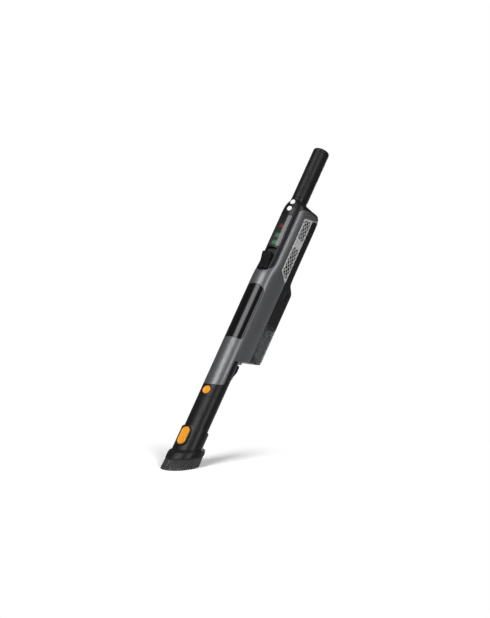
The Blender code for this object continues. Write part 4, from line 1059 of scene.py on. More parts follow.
def make_badge():
    """The blank badge: a Coons patch inside the recess's outline, flush with the shell."""
    foot, side, arch = badge_edge(GAP)
    bottom = foot[:18]
    right = chain(foot[17:], side, arch[:7])
    top = arch[6:][::-1]
    count = len(bottom)
    steps = np.linspace(0, len(top) - 1, count)
    index = np.arange(len(top))
    top = np.stack([np.interp(steps, index, top[:, c]) for c in (0, 1)], -1)
    left = line(bottom[0], top[0], len(right) - 1)
    plate = mesh_piece("badge_plate_blank", both_sides([on_body(coons(bottom, top, left, right))]))
    dress(thicken(plate, 0.0009, 0.00025), "housing", "gloss_black", finish_of("badge_gloss"), "badge_plate")


def make_grilles():
    """Side grilles: a plate between two slanted edges, pierced by a lattice of diamonds in two fields."""
    y0, y1 = GRILLE_FRONT_Y + GAP, SEAM_Y - GAP
    foot = lambda y, lift=0.0: GRILLE_FOOT_PLANE[0] + GRILLE_FOOT_PLANE[1] * y + lift
    roof = lambda y, lift=0.0: TOP_SEAM_PLANE[0] + TOP_SEAM_PLANE[1] * y + lift
    y = np.linspace(y0, y1, 15)
    bottom, top = on_side(y, foot(y, 0.00045)), on_side(y, roof(y, -GAP))
    left_z, right_z = np.linspace(bottom[0, 1], top[0, 1], 71), np.linspace(bottom[-1, 1], top[-1, 1], 71)
    patch = coons(bottom, top, on_side(np.full(71, y0), left_z), on_side(np.full(71, y1), right_z))
    plate = thicken(mesh_piece("grille_plate", [on_body(patch)]), 0.0016, 0.0003, 2)
    holes = []
    wide, tall, bar_w = 0.0076, 0.0100, 0.0008
    centres = []
    for row in range(40):
        for column in range(-3, 6):
            centre = (0.0143 + (column + 0.5 * (row % 2)) * wide, 0.425 + row * tall / 2)
            centres.append(centre)
    for cy, cz in centres:
        half_y, half_z = wide / 2 - bar_w * 0.62, tall / 2 - bar_w * 0.9
        diamond = np.array(((cy, cz - half_z), (cy + half_y, cz), (cy, cz + half_z), (cy - half_y, cz)))
        inside = clip_field(diamond, foot, roof)
        if inside is not None:
            holes.append(inside)
    grow, depth = (0.0, 0.0, 0.0001, 0.00025), np.array((0.006, 0.0003, 0.0, -0.0003))
    rings = np.stack([[grown(rounded(outline, 0.0004, 2), by) for by in grow] for outline in holes])
    reach = side_x(rings[..., 0], rings[..., 1]) - depth[None, :, None]
    rings = np.concatenate((rings, rings[:, -1:]), 1)
    rings = placed(rings, "X", np.concatenate((reach, np.full_like(reach[:, -1:], 0.032)), 1))
    cutters = [np.concatenate((rings, rings[..., :1, :]), -2)]
    carve(plate, cutters)
    dress(plate, "housing", "silver_grille", finish_of("silver_satin"), "grille_right")
    plate.name = "grille_plate_right"
    other = plate.copy()
    other.data = plate.data.copy()
    other.name = "grille_plate_left"
    other.data.transform(Matrix.Scale(-1, 4, (1, 0, 0)))
    other.data.flip_normals()
    bpy.context.scene.collection.objects.link(other)
    dress(shade(other), "housing", "silver_grille", finish_of("silver_satin"), "grille_left")
    del other["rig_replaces"]
    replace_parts(other, "grille_left")
    make_trim()


def clip_field(outline, foot, roof):
    """A diamond kept whole or cut back to the vent fields; None where little of it is left."""
    front, back = 0.0058, 0.0230
    band_low, band_high = 0.4925, 0.5095
    centre = outline.mean(0)
    if not front < centre[0] < back:
        return None
    shape = outline.copy()
    shape[:, 0] = np.clip(shape[:, 0], front, back)
    low = foot(shape[:, 0], 0.0036)
    high = roof(shape[:, 0], -0.0030)
    if centre[1] < (band_low + band_high) / 2:
        high = np.minimum(high, band_low)
    else:
        low = np.maximum(low, band_high)
    shape[:, 1] = np.clip(shape[:, 1], low, high)
    ahead = np.roll(shape, -1, axis=0)
    area = 0.5 * abs(np.sum(shape[:, 0] * ahead[:, 1] - ahead[:, 0] * shape[:, 1]))
    whole = 0.5 * np.ptp(outline[:, 0]) * np.ptp(outline[:, 1])
    sides = np.linalg.norm(ahead - shape, axis=1)
    return shape if area > 0.30 * whole and sides.min() > 0.0005 else None


def make_trim():
    """Thin silver line along the top seam, from the grille's front corner round the back: a half-round profile
    carried along the outline."""
    first = float(on_side(GRILLE_FRONT_Y, 0.549)[0])
    k = np.linspace(first, BACK, 70)
    place = on_plane(k, TOP_SEAM_PLANE, 0.0)
    path, side = on_body(place), outward(place[:, 0], place[:, 1])
    up = np.broadcast_to((0.0, 0.0, 1.0), path.shape)
    t = np.linspace(0, math.pi, 7)
    profile = np.concatenate((np.stack((0.00002 + 0.00022 * np.sin(t), 0.00055 * np.cos(t)), -1),
                              [(-0.0008, -0.00055), (-0.0008, 0.00055)]))
    grid = swept(path, side, up, profile)
    both = np.concatenate((grid, (grid * (-1, 1, 1))[::-1][1:]))
    trim = mesh_piece("seam_trim", [both], fill=True, turn_out=True)
    dress(trim, "housing", "silver_grille", finish_of("silver_satin"))


def make_rear_cover():
    """The black rear wall between bin and seam, with its socket and two screws in round holes."""
    low_z = 0.436
    start = lambda z: k_where(1, SEAM_Y, z)
    bottom = line((float(start(low_z)), low_z), (BACK, low_z), 24)
    first = float(start(0.557))
    top = on_plane(np.linspace(first, BACK, 25), TOP_SEAM_PLANE, -GAP)
    z = np.linspace(low_z, top[0, 1], 76)
    left = np.stack((start(z), z), -1)
    right = line((BACK, low_z), top[-1], 75)
    cover = mesh_piece("rear_wall", both_sides([on_body(coons(bottom, top, left, right))]))
    thicken(cover)
    cutters = []
    port_low, port_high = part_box("charge_socket")
    port_z, port_r = (port_low.z + port_high.z) / 2, (port_high.x - port_low.x) / 2 + GAP
    back = 0.0450
    for x, z, r in ((0, port_z, port_r), *((*screw_place(i), 0.0024) for i in (1, 2))):
        rings = []
        for grow, depth in ((0.0, 0.01), (0.0, 0.0004), (0.00012, 0.00012), (0.0004, 0.0), (0.0009, -0.0006)):
            rings.append(placed(circle(x, z, r + grow, 40), "Y", back - depth))
        cutters.append(closed(np.stack(rings)))
    carve(cover, cutters)
    dress(cover, "housing", "black_plastic", finish_of("satin_black"), "rear_cover")
    make_socket()
    make_screws()


def screw_place(index):
    low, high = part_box(f"cover_screw_{index}")
    return (low.x + high.x) / 2, (low.z + high.z) / 2


def make_socket():
    """Charge socket: a turned sleeve about y with a rounded lip, and a contact pin in its bore."""
    low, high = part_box("charge_socket")
    z, radius = (low.z + high.z) / 2, (high.x - low.x) / 2
    front, back = low.y - AXIS_Y, high.y - AXIS_Y
    profile = rounded(((0.0028, front + 0.0015), (0.0028, back), (radius, back), (radius, front)), 0.0003)
    start = np.array(((0.0, front),))
    floor = np.array(((0.0, front + 0.0015),))
    ring = np.concatenate((floor, np.roll(profile, -3, axis=0), start))
    pin_r = 0.0008
    t = np.linspace(0, math.pi / 2, 5)
    dome = [(pin_r * math.cos(a), back - 0.0016 + pin_r * math.sin(a)) for a in t]
    pin = np.array([(pin_r, front + 0.001)] + dome)
    grids = [lathe(ring, (0, 0, z), "Y", 48), lathe(pin, (0, 0, z), "Y", 20)]
    socket = mesh_piece("charge_port", grids, fill=True, turn_out=True)
    dress(socket, "housing", "black_plastic", finish_of("satin_black"), "charge_socket")


def make_screws():
    """Pan heads turned about y, each with a six-lobed recess: recess radius = r (1 + 0.18 cos 6t)."""
    for i in (1, 2):
        x, z = screw_place(i)
        low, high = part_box(f"cover_screw_{i}")
        front, back = low.y - AXIS_Y, high.y - AXIS_Y
        t = np.linspace(0, 2 * math.pi, 73)
        lobe = 1 + 0.18 * np.cos(6 * t)
        rows = [(0.0, front, 0), (0.0018, front, 0), (0.0018, back - 0.0006, 0), (0.0017, back - 0.0003, 0),
                (0.0014, back - 0.0001, 0), (0.0011, back, 0.5), (0.00085, back, 1), (0.0008, back - 0.0001, 1),
                (0.00078, back - 0.0007, 1), (0.0, back - 0.0007, 1)]
        grid = np.stack([np.stack((x + r * (1 + (lobe - 1) * w) * np.cos(t), np.full_like(t, y),
                                   z + r * (1 + (lobe - 1) * w) * np.sin(t)), -1) for r, y, w in rows])
        screw = mesh_piece(f"screw_head_{i}", [grid], turn_out=True)
        dress(screw, "housing", "steel", finish_of("steel"), f"cover_screw_{i}")


# ---------------------------------------------------------------- bin
def side_and_back(first):
    """Outline parameters from first along the side, round the rear corner and to the back centre."""
    return np.concatenate((np.linspace(first, 10, 10), np.linspace(10, 13, 13)[1:], np.linspace(13, BACK, 9)[1:]))


def bin_wall(z_low, z_high, rows, floor=None):
    """Right half of the bin's outer wall, from the front seam to the back centre; floor is a slanted plane."""
    k_high = float(k_where(1, SEAM_Y, z_high))
    if floor is None:
        bottom = line((float(k_where(1, SEAM_Y, z_low)), z_low), (BACK, z_low), 30)
    else:
        first = float(k_where(1, SEAM_Y, floor[0] + floor[1] * SEAM_Y))
        ks = side_and_back(first)
        bottom = on_plane(ks, floor)
    ks = side_and_back(k_high)
    if floor is None:
        first = float(k_where(1, SEAM_Y, z_low))
        low_ks = side_and_back(first)
        bottom = np.stack((low_ks, np.full(30, z_low)), -1)
    top = np.stack((ks, np.full(30, z_high)), -1)
    z = np.linspace(bottom[0, 1], z_high, rows + 1)
    left = np.stack((k_where(1, SEAM_Y, z), z), -1)
    right = line(bottom[-1], top[-1], rows)
    return coons(bottom, top, left, right)


def front_wall(edge, count=20):
    """Flat wall that joins the two front seams of the bin, given the right seam's points."""
    share = np.linspace(-1, 1, count + 1)[None, :, None]
    return edge[:, None] * np.concatenate((share, np.ones_like(share), np.ones_like(share)), -1)


def lid(ring, rows=8):
    """A level top: the closing ring drawn in to the bin's middle line along its own shape."""
    centre = np.array((0.0, ring[:, 1].mean(), ring[0, 2]))
    share = np.linspace(1, 0, rows + 1)[:, None, None]
    return centre + (ring - centre)[None] * share


def make_bin_head():
    """Filter housing on top of the bin: outer wall, front wall and top, with a wall behind and finger scoops."""
    low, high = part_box("bin_head")
    z_low, z_high = low.z, high.z
    right = on_body(bin_wall(z_low, z_high, 66))
    y, z = right[..., 1], right[..., 2]
    along = np.clip((z - 0.3970) / 0.0035, 0, 1) * np.clip((0.4165 - z) / 0.0035, 0, 1)
    across = np.clip((y - 0.0365) / 0.0025, 0, 1) * np.clip((0.0462 - y) / 0.0025, 0, 1)
    scoop = along * along * (3 - 2 * along) * across * across * (3 - 2 * across)
    right[..., 0] -= 0.0012 * scoop * (right[..., 0] > 0.02)
    sides = both_sides([right])
    seam = right[:, 0]
    front = front_wall(seam, 20)
    top = lid(ring_order(right[-1], 20))
    head = mesh_piece("filter_housing", sides + [front, top], turn_out=False)
    thicken(head, WALL, 0.0004, 3)
    cutters = [bar(rectangle(-0.014, 0.014, 0.0305, 0.0405), "Z", z_high - 0.01, z_high + 0.01, 0.0002)]
    for side in (-1, 1):
        slot = np.sort((side * 0.0204, side * 0.0238))
        cutters.append(bar(rectangle(*slot, 0.0266, 0.0306), "Z", z_high - 0.004, z_high + 0.01, 0.0002))
    carve(head, cutters)
    dress(head, "bin", "black_plastic", finish_of("satin_black"), "bin_head")


def ring_order(half, count):
    """Closed ring of the bin's outline from its right half (front seam to back centre), by way of the left half
    and the front wall, ending where it starts."""
    other = (half * (-1, 1, 1))[::-1]
    share = np.linspace(-1, 1, count + 1)[:, None]
    front = half[0] * np.concatenate((share, np.ones_like(share), np.ones_like(share)), -1)
    return np.concatenate((half, other[1:], front[1:]))


def make_dust_cup():
    """Clear cup: outer wall and front wall with a real thickness, open above and below, with the inlet hole."""
    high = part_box("dust_cup")[1]
    floor = (STEP_PLANE[0] + 0.0028, STEP_PLANE[1])
    right = on_body(bin_wall(0.0, high.z, 48, floor))
    front = front_wall(right[:, 0], 20)
    cup = mesh_piece("cup_wall", both_sides([right]) + [front])
    thicken(cup, WALL, 0.0003, 2)
    inlet = bar(rounded(rectangle(-0.0125, 0.0125, 0.2795, 0.3005), 0.002), "Y", 0.020, 0.030, 0.0002)
    hinge_y, hinge_z = bore_place("door_hinge_pin")
    room = rectangle(hinge_y - 0.0027, 0.0605, 0.2600, hinge_z + 0.0031)
    carve(cup, [inlet, bar(room, "X", -0.0184, 0.0184, 0.0001)])
    dress(cup, "bin", "clear_plastic", finish_of("clear_cup"), "dust_cup")


def make_door():
    """Clear bin door: the body's outline between two parallel slanted planes, with rounded rims."""
    k = np.concatenate((np.linspace(float(k_where(1, SEAM_Y + 0.0002, 0.25)), 10, 12),
                        np.linspace(10, 12.2, 8)[1:]))
    half = envelope(k, np.full(k.shape, 0.25))[:, :2]
    rear_y = 0.0556
    half = np.concatenate((half, [(0.0176, rear_y - 0.002), (0.0174, rear_y), (0.0087, rear_y)]))
    half[:, 1] = np.minimum(half[:, 1], np.where(half[:, 0] > 0.0178, 0.0534, rear_y))
    outline = np.concatenate((half, (half * (-1, 1))[::-1]))
    outline = np.concatenate((outline, line((-half[0, 0], half[0, 1]), half[0], 14)[1:-1]))
    rows = []
    for inset, lift in ((0.0008, 0.0), (0.0004, 0.0), (0.00012, 0.00012), (0.0, 0.0004),
                        (0.0, 0.0021), (0.00012, 0.00238), (0.0004, 0.0025), (0.0008, 0.0025)):
        ring = grown(outline, -inset)
        rows.append(np.stack((ring[:, 0], ring[:, 1], STEP_PLANE[0] + STEP_PLANE[1] * ring[:, 1] + lift), -1))
    door = mesh_piece("door_plate", [closed(np.stack(rows))], fill=True, turn_out=True)
    low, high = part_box("door_hinge_pin")
    y, z = (low.y + high.y) / 2 - AXIS_Y, (low.z + high.z) / 2
    roll = np.stack((y + 0.0019 * np.cos(TURN32), z + 0.0019 * np.sin(TURN32)), -1)
    barrel = bar(roll, "X", -0.018, 0.018, 0.0003)
    catch = bar(rounded(rectangle(0.0312, 0.0328, 0.2535, 0.2602), 0.0005), "X", -0.005, 0.005, 0.0003)
    carve(door, [barrel, catch], "UNION")
    carve(door, [bore("door_hinge_pin")])
    dress(door, "door", "clear_plastic", finish_of("clear_cup"), "bin_door")


TURN32 = np.arange(32) * 2 * math.pi / 32


def bore_place(pin):
    """(y, z) of a pin that lies along x."""
    low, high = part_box(pin)
    return (low.y + high.y) / 2 - AXIS_Y, (low.z + high.z) / 2


def bore(pin):
    """Round hole along x, a little wider than its pin."""
    low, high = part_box(pin)
    return bar(circle(*bore_place(pin), (high.z - low.z) / 2 + 0.00012, 24), "X", -0.03, 0.03, 0.00005)


def make_filters():
    """Pleated paper: a zigzag wave across x in both faces."""
    low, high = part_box("pleated_filter")
    count, front, back = 17, low.y - AXIS_Y, high.y - AXIS_Y
    x = np.linspace(low.x + 0.0002, high.x - 0.0002, count * 8 + 1)
    wave = np.abs((np.arange(len(x)) / 8) % 1 * 2 - 1)
    wave = wave * wave * (3 - 2 * wave) * 0.0034
    outline = np.concatenate((np.stack((x, back - wave), -1), np.stack((x, front + 0.0034 - wave), -1)[::-1]))
    pleats = mesh_piece("paper_pleats", [bar(outline, "Z", low.z, high.z, 0.0001, 2)], fill=True, turn_out=True)
    dress(pleats, "bin", "filter_paper", finish_of("filter_paper"), "pleated_filter")


# ---------------------------------------------------------------- neck and nozzle
def oval_ring(oval, turns, inset=0.0):
    """Points x = a sin t, y = centre - b cos t."""
    centre_y, a, b = oval
    return np.stack(((a - inset) * np.sin(turns), centre_y - (b - inset) * np.cos(turns)), -1)


def oval_wall(stations, turns):
    """Rows of an oval wall. Each station gives an oval and a plane (base, slope) that cuts it."""
    rows = []
    for oval, (base, slope) in stations:
        ring = oval_ring(oval, turns)
        rows.append(np.stack((ring[:, 0], ring[:, 1], base + slope * ring[:, 1]), -1))
    return np.stack(rows)


def between(first, last, count, ease=False, skip=0):
    """Stations from one (oval, plane) to another; ease follows a smooth step in the oval."""
    rows = []
    for s in np.linspace(0, 1, count + 1)[skip:]:
        w = s * s * (3 - 2 * s) if ease else s
        oval = tuple(a * (1 - w) + b * w for a, b in zip(first[0], last[0]))
        plane = tuple(a * (1 - s) + b * s for a, b in zip(first[1], last[1]))
        rows.append((oval, plane))
    return rows


def make_neck_rear():
    """Black rear half of the neck, with two ears that carry the door lever."""
    start = math.acos((NECK_OVAL[0] - NECK_SEAM_Y - GAP) / NECK_OVAL[2])
    turns = np.linspace(start, 2 * math.pi - start, 61)
    low, high = (NECK_OVAL, NOZZLE_SEAM_PLANE), (NECK_OVAL, (STEP_PLANE[0] - 0.0009, STEP_PLANE[1]))
    neck = mesh_piece("neck_back", [oval_wall(between(low, high, 40), turns)])
    thicken(neck, WALL, 0.0003)
    z = bore_place("lever_pin")[1]
    corners = ((0.0140, z - 0.0045), (0.0205, z - 0.0035), (0.0228, z), (0.0205, z + 0.0035), (0.0140, z + 0.0045))
    ear = rounded(corners, 0.002)
    ears = [bar(ear, "X", *sorted((side * 0.0062, side * 0.0088)), 0.0004) for side in (-1, 1)]
    carve(neck, ears, "UNION")
    carve(neck, [bore("lever_pin")])
    dress(neck, "housing", "black_plastic", finish_of("satin_black"), "neck_rear")


def make_lever():
    """Door lever: a side profile in (y, z) carried across x."""
    low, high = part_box("door_lever")
    y, z = low.y - AXIS_Y, low.z
    pin_low, pin_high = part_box("lever_pin")
    py, pz = (pin_low.y + pin_high.y) / 2 - AXIS_Y, (pin_low.z + pin_high.z) / 2
    top_z, top_y = high.z, high.y - AXIS_Y
    corners = [(py - 0.0028, pz - 0.0022), (py + 0.0010, pz - 0.0034), (py + 0.0034, pz - 0.0006),
               (top_y - 0.0002, pz + 0.0165), (top_y - 0.0002, top_z - 0.0040), (top_y - 0.0026, top_z - 0.0006),
               (py + 0.0010, pz + 0.0150), (py - 0.0030, pz + 0.0020)]
    outline = rounded(corners, (0.002, 0.0016, 0.002, 0.003, 0.002, 0.0012, 0.004, 0.0012), 5)
    outline[:, 0] = np.clip(outline[:, 0], y, top_y)
    outline[:, 1] = np.clip(outline[:, 1], z, top_z)
    lever = mesh_piece("release_lever", [bar(outline, "X", low.x, high.x, 0.0008)], fill=True, turn_out=True)
    carve(lever, [bore("lever_pin")])
    dress(lever, "lever", "black_plastic", finish_of("satin_black"), "door_lever")


def make_nozzle():
    """Crevice nozzle: slanted mouth, taper to the neck's oval and a long straight wall with one fine groove."""
    turns = np.linspace(0, 2 * math.pi, 97)
    mouth, waist = (TIP_OVAL, TIP_CUT_PLANE), (TIP_OVAL, (0.066, 0.0))
    shoulder, groove_low = (NECK_OVAL, (0.096, 0.0)), (NECK_OVAL, (0.1630, 0.25))
    slim = tuple(np.array(NECK_OVAL) - (0, 0.00028, 0.00028))
    groove = [(oval, (z, 0.25)) for oval, z in ((NECK_OVAL, 0.1634), (slim, 0.1636), (slim, 0.1642),
                                                (NECK_OVAL, 0.1644))]
    stations = between(mouth, waist, 8) + between(waist, shoulder, 14, True, 1) + between(shoulder, groove_low, 24,
                                                                                         False, 1)
    stations += groove
    last = (NECK_OVAL, (NOZZLE_SEAM_PLANE[0] - GAP, NOZZLE_SEAM_PLANE[1]))
    stations += between((NECK_OVAL, (0.1648, 0.25)), last, 12)
    wall = mesh_piece("nozzle_wall", [oval_wall(stations, turns)])
    thicken(wall, 0.0024, 0.0004)
    button_low, button_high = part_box("nozzle_button")
    z, radius = (button_low.z + button_high.z) / 2, (button_high.x - button_low.x) / 2 + 0.0004
    hole = front_cutter(circle(0, z, radius, 64), 0.0005, 0.0036, nozzle_y)
    carve(wall, [hole])
    dress(wall, "nozzle", "black_plastic", finish_of("nozzle_black"), "nozzle_body")
    make_lock_mark()
    dress(key_disc("nozzle_key", "nozzle_button", dish=0.0005), "nozzle_button_body", "orange_plastic",
          finish_of("orange_key"), "nozzle_button")


def make_lock_mark():
    """A small raised arc on the nozzle's front: half-round profile along part of a circle laid on the wall."""
    t = np.radians(np.linspace(200, 340, 30))
    x, z = 0.0038 * np.cos(t) + 0.001, 0.1290 + 0.0038 * np.sin(t)
    path = np.stack((x, nozzle_y(x, z), z), -1)
    side = np.broadcast_to((0.0, -1.0, 0.0), path.shape)
    up = np.stack((np.cos(t), np.zeros_like(t), np.sin(t)), -1)
    a = np.linspace(0, math.pi, 6)
    profile = np.concatenate((np.stack((0.00028 * np.sin(a), 0.0004 * np.cos(a)), -1),
                              [(-0.0004, -0.0004), (-0.0004, 0.0004)]))
    mark = mesh_piece("nozzle_arc", [swept(path, side, up, profile)], fill=True, turn_out=True)
    dress(mark, "nozzle", "black_plastic", finish_of("nozzle_black"))


# ---------------------------------------------------------------- brush
def make_brush():
    """Sleeve and skirt as oval walls between slanted planes. The skirt has a flat-topped flange and widens a
    little below it; a raised stadium pad on the sleeve carries the orange key."""
    turns = np.linspace(0, 2 * math.pi, 97)
    sleeve_low = (SLEEVE_OVAL, (SKIRT_TOP_PLANE[0] + GAP, SKIRT_TOP_PLANE[1]))
    top_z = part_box("brush_sleeve")[1].z
    high = (SLEEVE_OVAL, (top_z, 0.0))
    sleeve = mesh_piece("brush_socket", [oval_wall(between(sleeve_low, high, 22), turns)])
    thicken(sleeve, 0.0026, 0.0006)
    low, key_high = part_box("brush_button")
    z = (low.z + key_high.z) / 2
    radius = (key_high.x - low.x) / 2
    core = (key_high.z - low.z) / 2 - radius
    rows = []
    for r, y in ((0.0107, -0.0210), (0.0107, -0.0238), (0.01055, -0.02445), (0.0102, -0.0248), (0.0096, -0.0250),
                 (0.0090, -0.0250)):
        rows.append(placed(stadium(z, r, core, 64), "Y", y))
    carve(sleeve, [closed(np.stack(rows))], "UNION")
    hole = [placed(stadium(z, radius + grow, core, 64), "Y", y)
            for grow, y in ((0.0003, -0.0190), (0.0003, -0.0246), (0.0005, -0.0249), (0.0009, -0.0251),
                            (0.0014, -0.0256))]
    carve(sleeve, [closed(np.stack(hole))])
    dress(sleeve, "brush", "black_plastic", finish_of("satin_black"), "brush_sleeve")
    dress(key_disc("brush_key", "brush_button", core=core, dish=0.0004), "brush_button_body", "orange_plastic",
          finish_of("orange_key"), "brush_button")
    bottom, top = (SKIRT_OVAL, SKIRT_PLANE), (SLEEVE_OVAL, SKIRT_TOP_PLANE)
    flare = [(0.0, 0.0), (0.12, 0.02), (0.45, 0.10), (0.66, 0.18), (0.76, 0.26), (0.81, 0.36), (0.835, 0.50),
             (0.85, 0.66), (0.865, 0.80), (0.89, 0.91), (0.93, 0.98), (1.0, 1.0)]
    stations = []
    for rise, draw in flare:
        oval = tuple(a + (b - a) * draw for a, b in zip(SKIRT_OVAL, SLEEVE_OVAL))
        stations.append((oval, tuple(a + (b - a) * rise for a, b in zip(bottom[1], top[1]))))
    skirt = mesh_piece("brush_skirt_wall", [oval_wall(stations, turns)])
    thicken(skirt, 0.0030, 0.0006)
    dress(skirt, "brush", "black_plastic", finish_of("satin_black"), "brush_skirt")


def oval_turns(oval, inset, count):
    """Angles at equal arc lengths round an oval."""
    t = np.linspace(0, 2 * math.pi, 2001)
    ring = oval_ring(oval, t, inset)
    length = np.concatenate(([0], np.cumsum(np.linalg.norm(np.diff(ring, axis=0), axis=1))))
    return np.interp((np.arange(count) + 0.5) / count * length[-1], length, t)


def filaments(inset, tufts, per_tuft, splay, pale, seed):
    """Bristles in tufts: each filament runs from a point in its tuft's disc on the skirt plane to the tip plane,
    leaning out by splay and at random, along a parabola; its section is a square that tapers. Every other tuft is
    made of paler filaments."""
    random = np.random.default_rng(seed)
    count = tufts * per_tuft
    turns = np.repeat(oval_turns(SKIRT_OVAL, inset, tufts), per_tuft)
    centre = oval_ring(SKIRT_OVAL, turns, inset)
    out = np.stack((np.sin(turns) / SKIRT_OVAL[1], -np.cos(turns) / SKIRT_OVAL[2]), -1)
    out = out / np.linalg.norm(out, axis=1, keepdims=True)
    around = np.stack((-out[:, 1], out[:, 0]), -1)
    spread = np.sqrt(random.random(count)) * 0.00060
    angle = random.random(count) * 2 * math.pi
    disc = np.stack((np.cos(angle), np.sin(angle)), -1) * spread[:, None]
    root = centre + out * disc[:, :1] + around * disc[:, 1:]
    lean = out * (splay + disc[:, :1] * 0.40 + random.normal(0, 0.00018, (count, 1)))
    lean = lean + around * (disc[:, 1:] * 0.30 + random.normal(0, 0.00020, (count, 1)))
    s = np.linspace(0, 1, 6)[None, :, None]
    flat = root[:, None] + lean[:, None] * (0.35 * s + 0.65 * s * s)
    reach = np.linalg.norm(flat / (0.0316, 0.0294), axis=-1, keepdims=True)
    flat = flat / np.maximum(reach, 1)
    top = SKIRT_PLANE[0] + SKIRT_PLANE[1] * root[:, 1] + 0.0008
    tip = TIP_PLANE[0] + TIP_PLANE[1] * flat[:, -1, 1] + np.abs(random.normal(0, 0.00035, count))
    height = top[:, None] + (tip - top)[:, None] * s[0, :, 0][None]
    middle = np.concatenate((flat, height[..., None]), -1)
    thick = random.uniform(0.00020, 0.00026, count)[:, None] * np.array((1, 1, 0.97, 0.92, 0.8, 0.45))[None]
    corners = np.arange(5) * math.pi / 2
    ring = np.stack((np.cos(corners), np.sin(corners), np.zeros(5)), -1)
    grid = middle[:, :, None] + ring[None, None] * thick[..., None, None]
    shade_of = np.repeat(np.where(np.arange(tufts) % 2, pale, -0.60), per_tuft) + random.normal(0, 0.06, count)
    share = s[..., 0][..., None] + shade_of[:, None, None] + np.zeros(grid.shape[:-1])
    return grid, share


def make_bristles():
    outer, outer_share = filaments(0.0018, 100, 9, 0.0010, 0.30, 7)
    inner, inner_share = filaments(0.0052, 44, 12, 0.0004, -0.60, 11)
    for name, grid, share, cad in (("outer_bristles", outer, outer_share, "bristles_outer"),
                                   ("inner_bristles", inner, inner_share, "bristles_inner")):
        rows = mesh_piece(name, [grid[:, ::-1]], fill=True, turn_out=True, along=share[:, ::-1], merge=1e-7)
        dress(rows, "brush", "bristle", finish_of("bristle"), cad)


# ---------------------------------------------------------------- inner parts
INNER = {
    "inner_black": ("cell_holder", "slider_tray", "latch_fork", "inlet_duct", "motor_magnet", "fan_bulkhead",
                    "motor_bulkhead", "impeller", "dust_deflector", "nozzle_spigot"),
    "cell_wrap": ("battery_cell_lower", "battery_cell_upper"),
    "soft_rubber": ("motor_mount_ring", "filter_frame", "inlet_flap"),
    "foam": ("exhaust_foam_right", "exhaust_foam_left"),
    "circuit_board": ("display_board", "button_board", "control_board"),
    "steel": ("motor_can", "bearing_upper", "bearing_lower", "lever_pin", "door_hinge_pin", "motor_shaft"),
    "filter_mesh": ("mesh_prefilter",),
    "copper": ("motor_rotor",),
    "lamp_red": ("status_led_red",),
    "lamp_green": ("charge_led_upper", "charge_led_lower"),
}


def finish_inner_parts():
    """CAD parts whose shape stays get their finishes."""
    for finish, names in INNER.items():
        for name in names:
            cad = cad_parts[name]
            for slot in cad.material_slots:
                slot.link = "OBJECT"
                slot.material = finish_of(finish)


# ---------------------------------------------------------------- stage
AIM = Vector((-0.00725, -0.0210, 0.347))
AZIMUTH, ELEVATION, ROLL = math.radians(42), math.radians(-21), math.radians(24.3)
VIEW_HEIGHT = 1.1124


def view_axes():
    """Right, up and backward axes of the camera for azimuth, elevation and roll."""
    back = Vector((math.sin(AZIMUTH) * math.cos(ELEVATION), -math.cos(AZIMUTH) * math.cos(ELEVATION),
                   math.sin(ELEVATION)))
    level = Vector((math.cos(AZIMUTH), math.sin(AZIMUTH), 0))
    rise = back.cross(level)
    right = level * math.cos(ROLL) + rise * math.sin(ROLL)
    up = rise * math.cos(ROLL) - level * math.sin(ROLL)
    return right, up, back


def look_along(obj, place, right, up, back):
    matrix = Matrix((right, up, back)).transposed().to_4x4()
    matrix.translation = place
    obj.matrix_world = matrix


def make_camera(sizes):
    right, up, back = view_axes()
    data = bpy.data.cameras.new("camera")
    data.lens = sizes.lens
    data.sensor_width = 36.0
    distance = sizes.lens / 36.0 * VIEW_HEIGHT
    data.clip_end = 60.0
    data.dof.use_dof = False
    camera = bpy.data.objects.new("camera", data)
    bpy.context.scene.collection.objects.link(camera)
    look_along(camera, AIM + back * distance, right, up, back)
    bpy.context.scene.camera = camera


def make_light(name, direction, distance, size, power, colour=(1, 1, 1)):
    """A square soft light that looks at the object's middle."""
    data = bpy.data.lights.new(name, "AREA")
    data.shape, data.size, data.size_y = "RECTANGLE", size[0], size[1]
    data.energy, data.color = power, colour
    light = bpy.data.objects.new(name, data)
    bpy.context.scene.collection.objects.link(light)
    direction = Vector(direction).normalized()
    middle = Vector((0, 0, 0.33))
    light.location = middle + direction * distance
    light.rotation_euler = direction.to_track_quat("Z", "Y").to_euler()
    return light


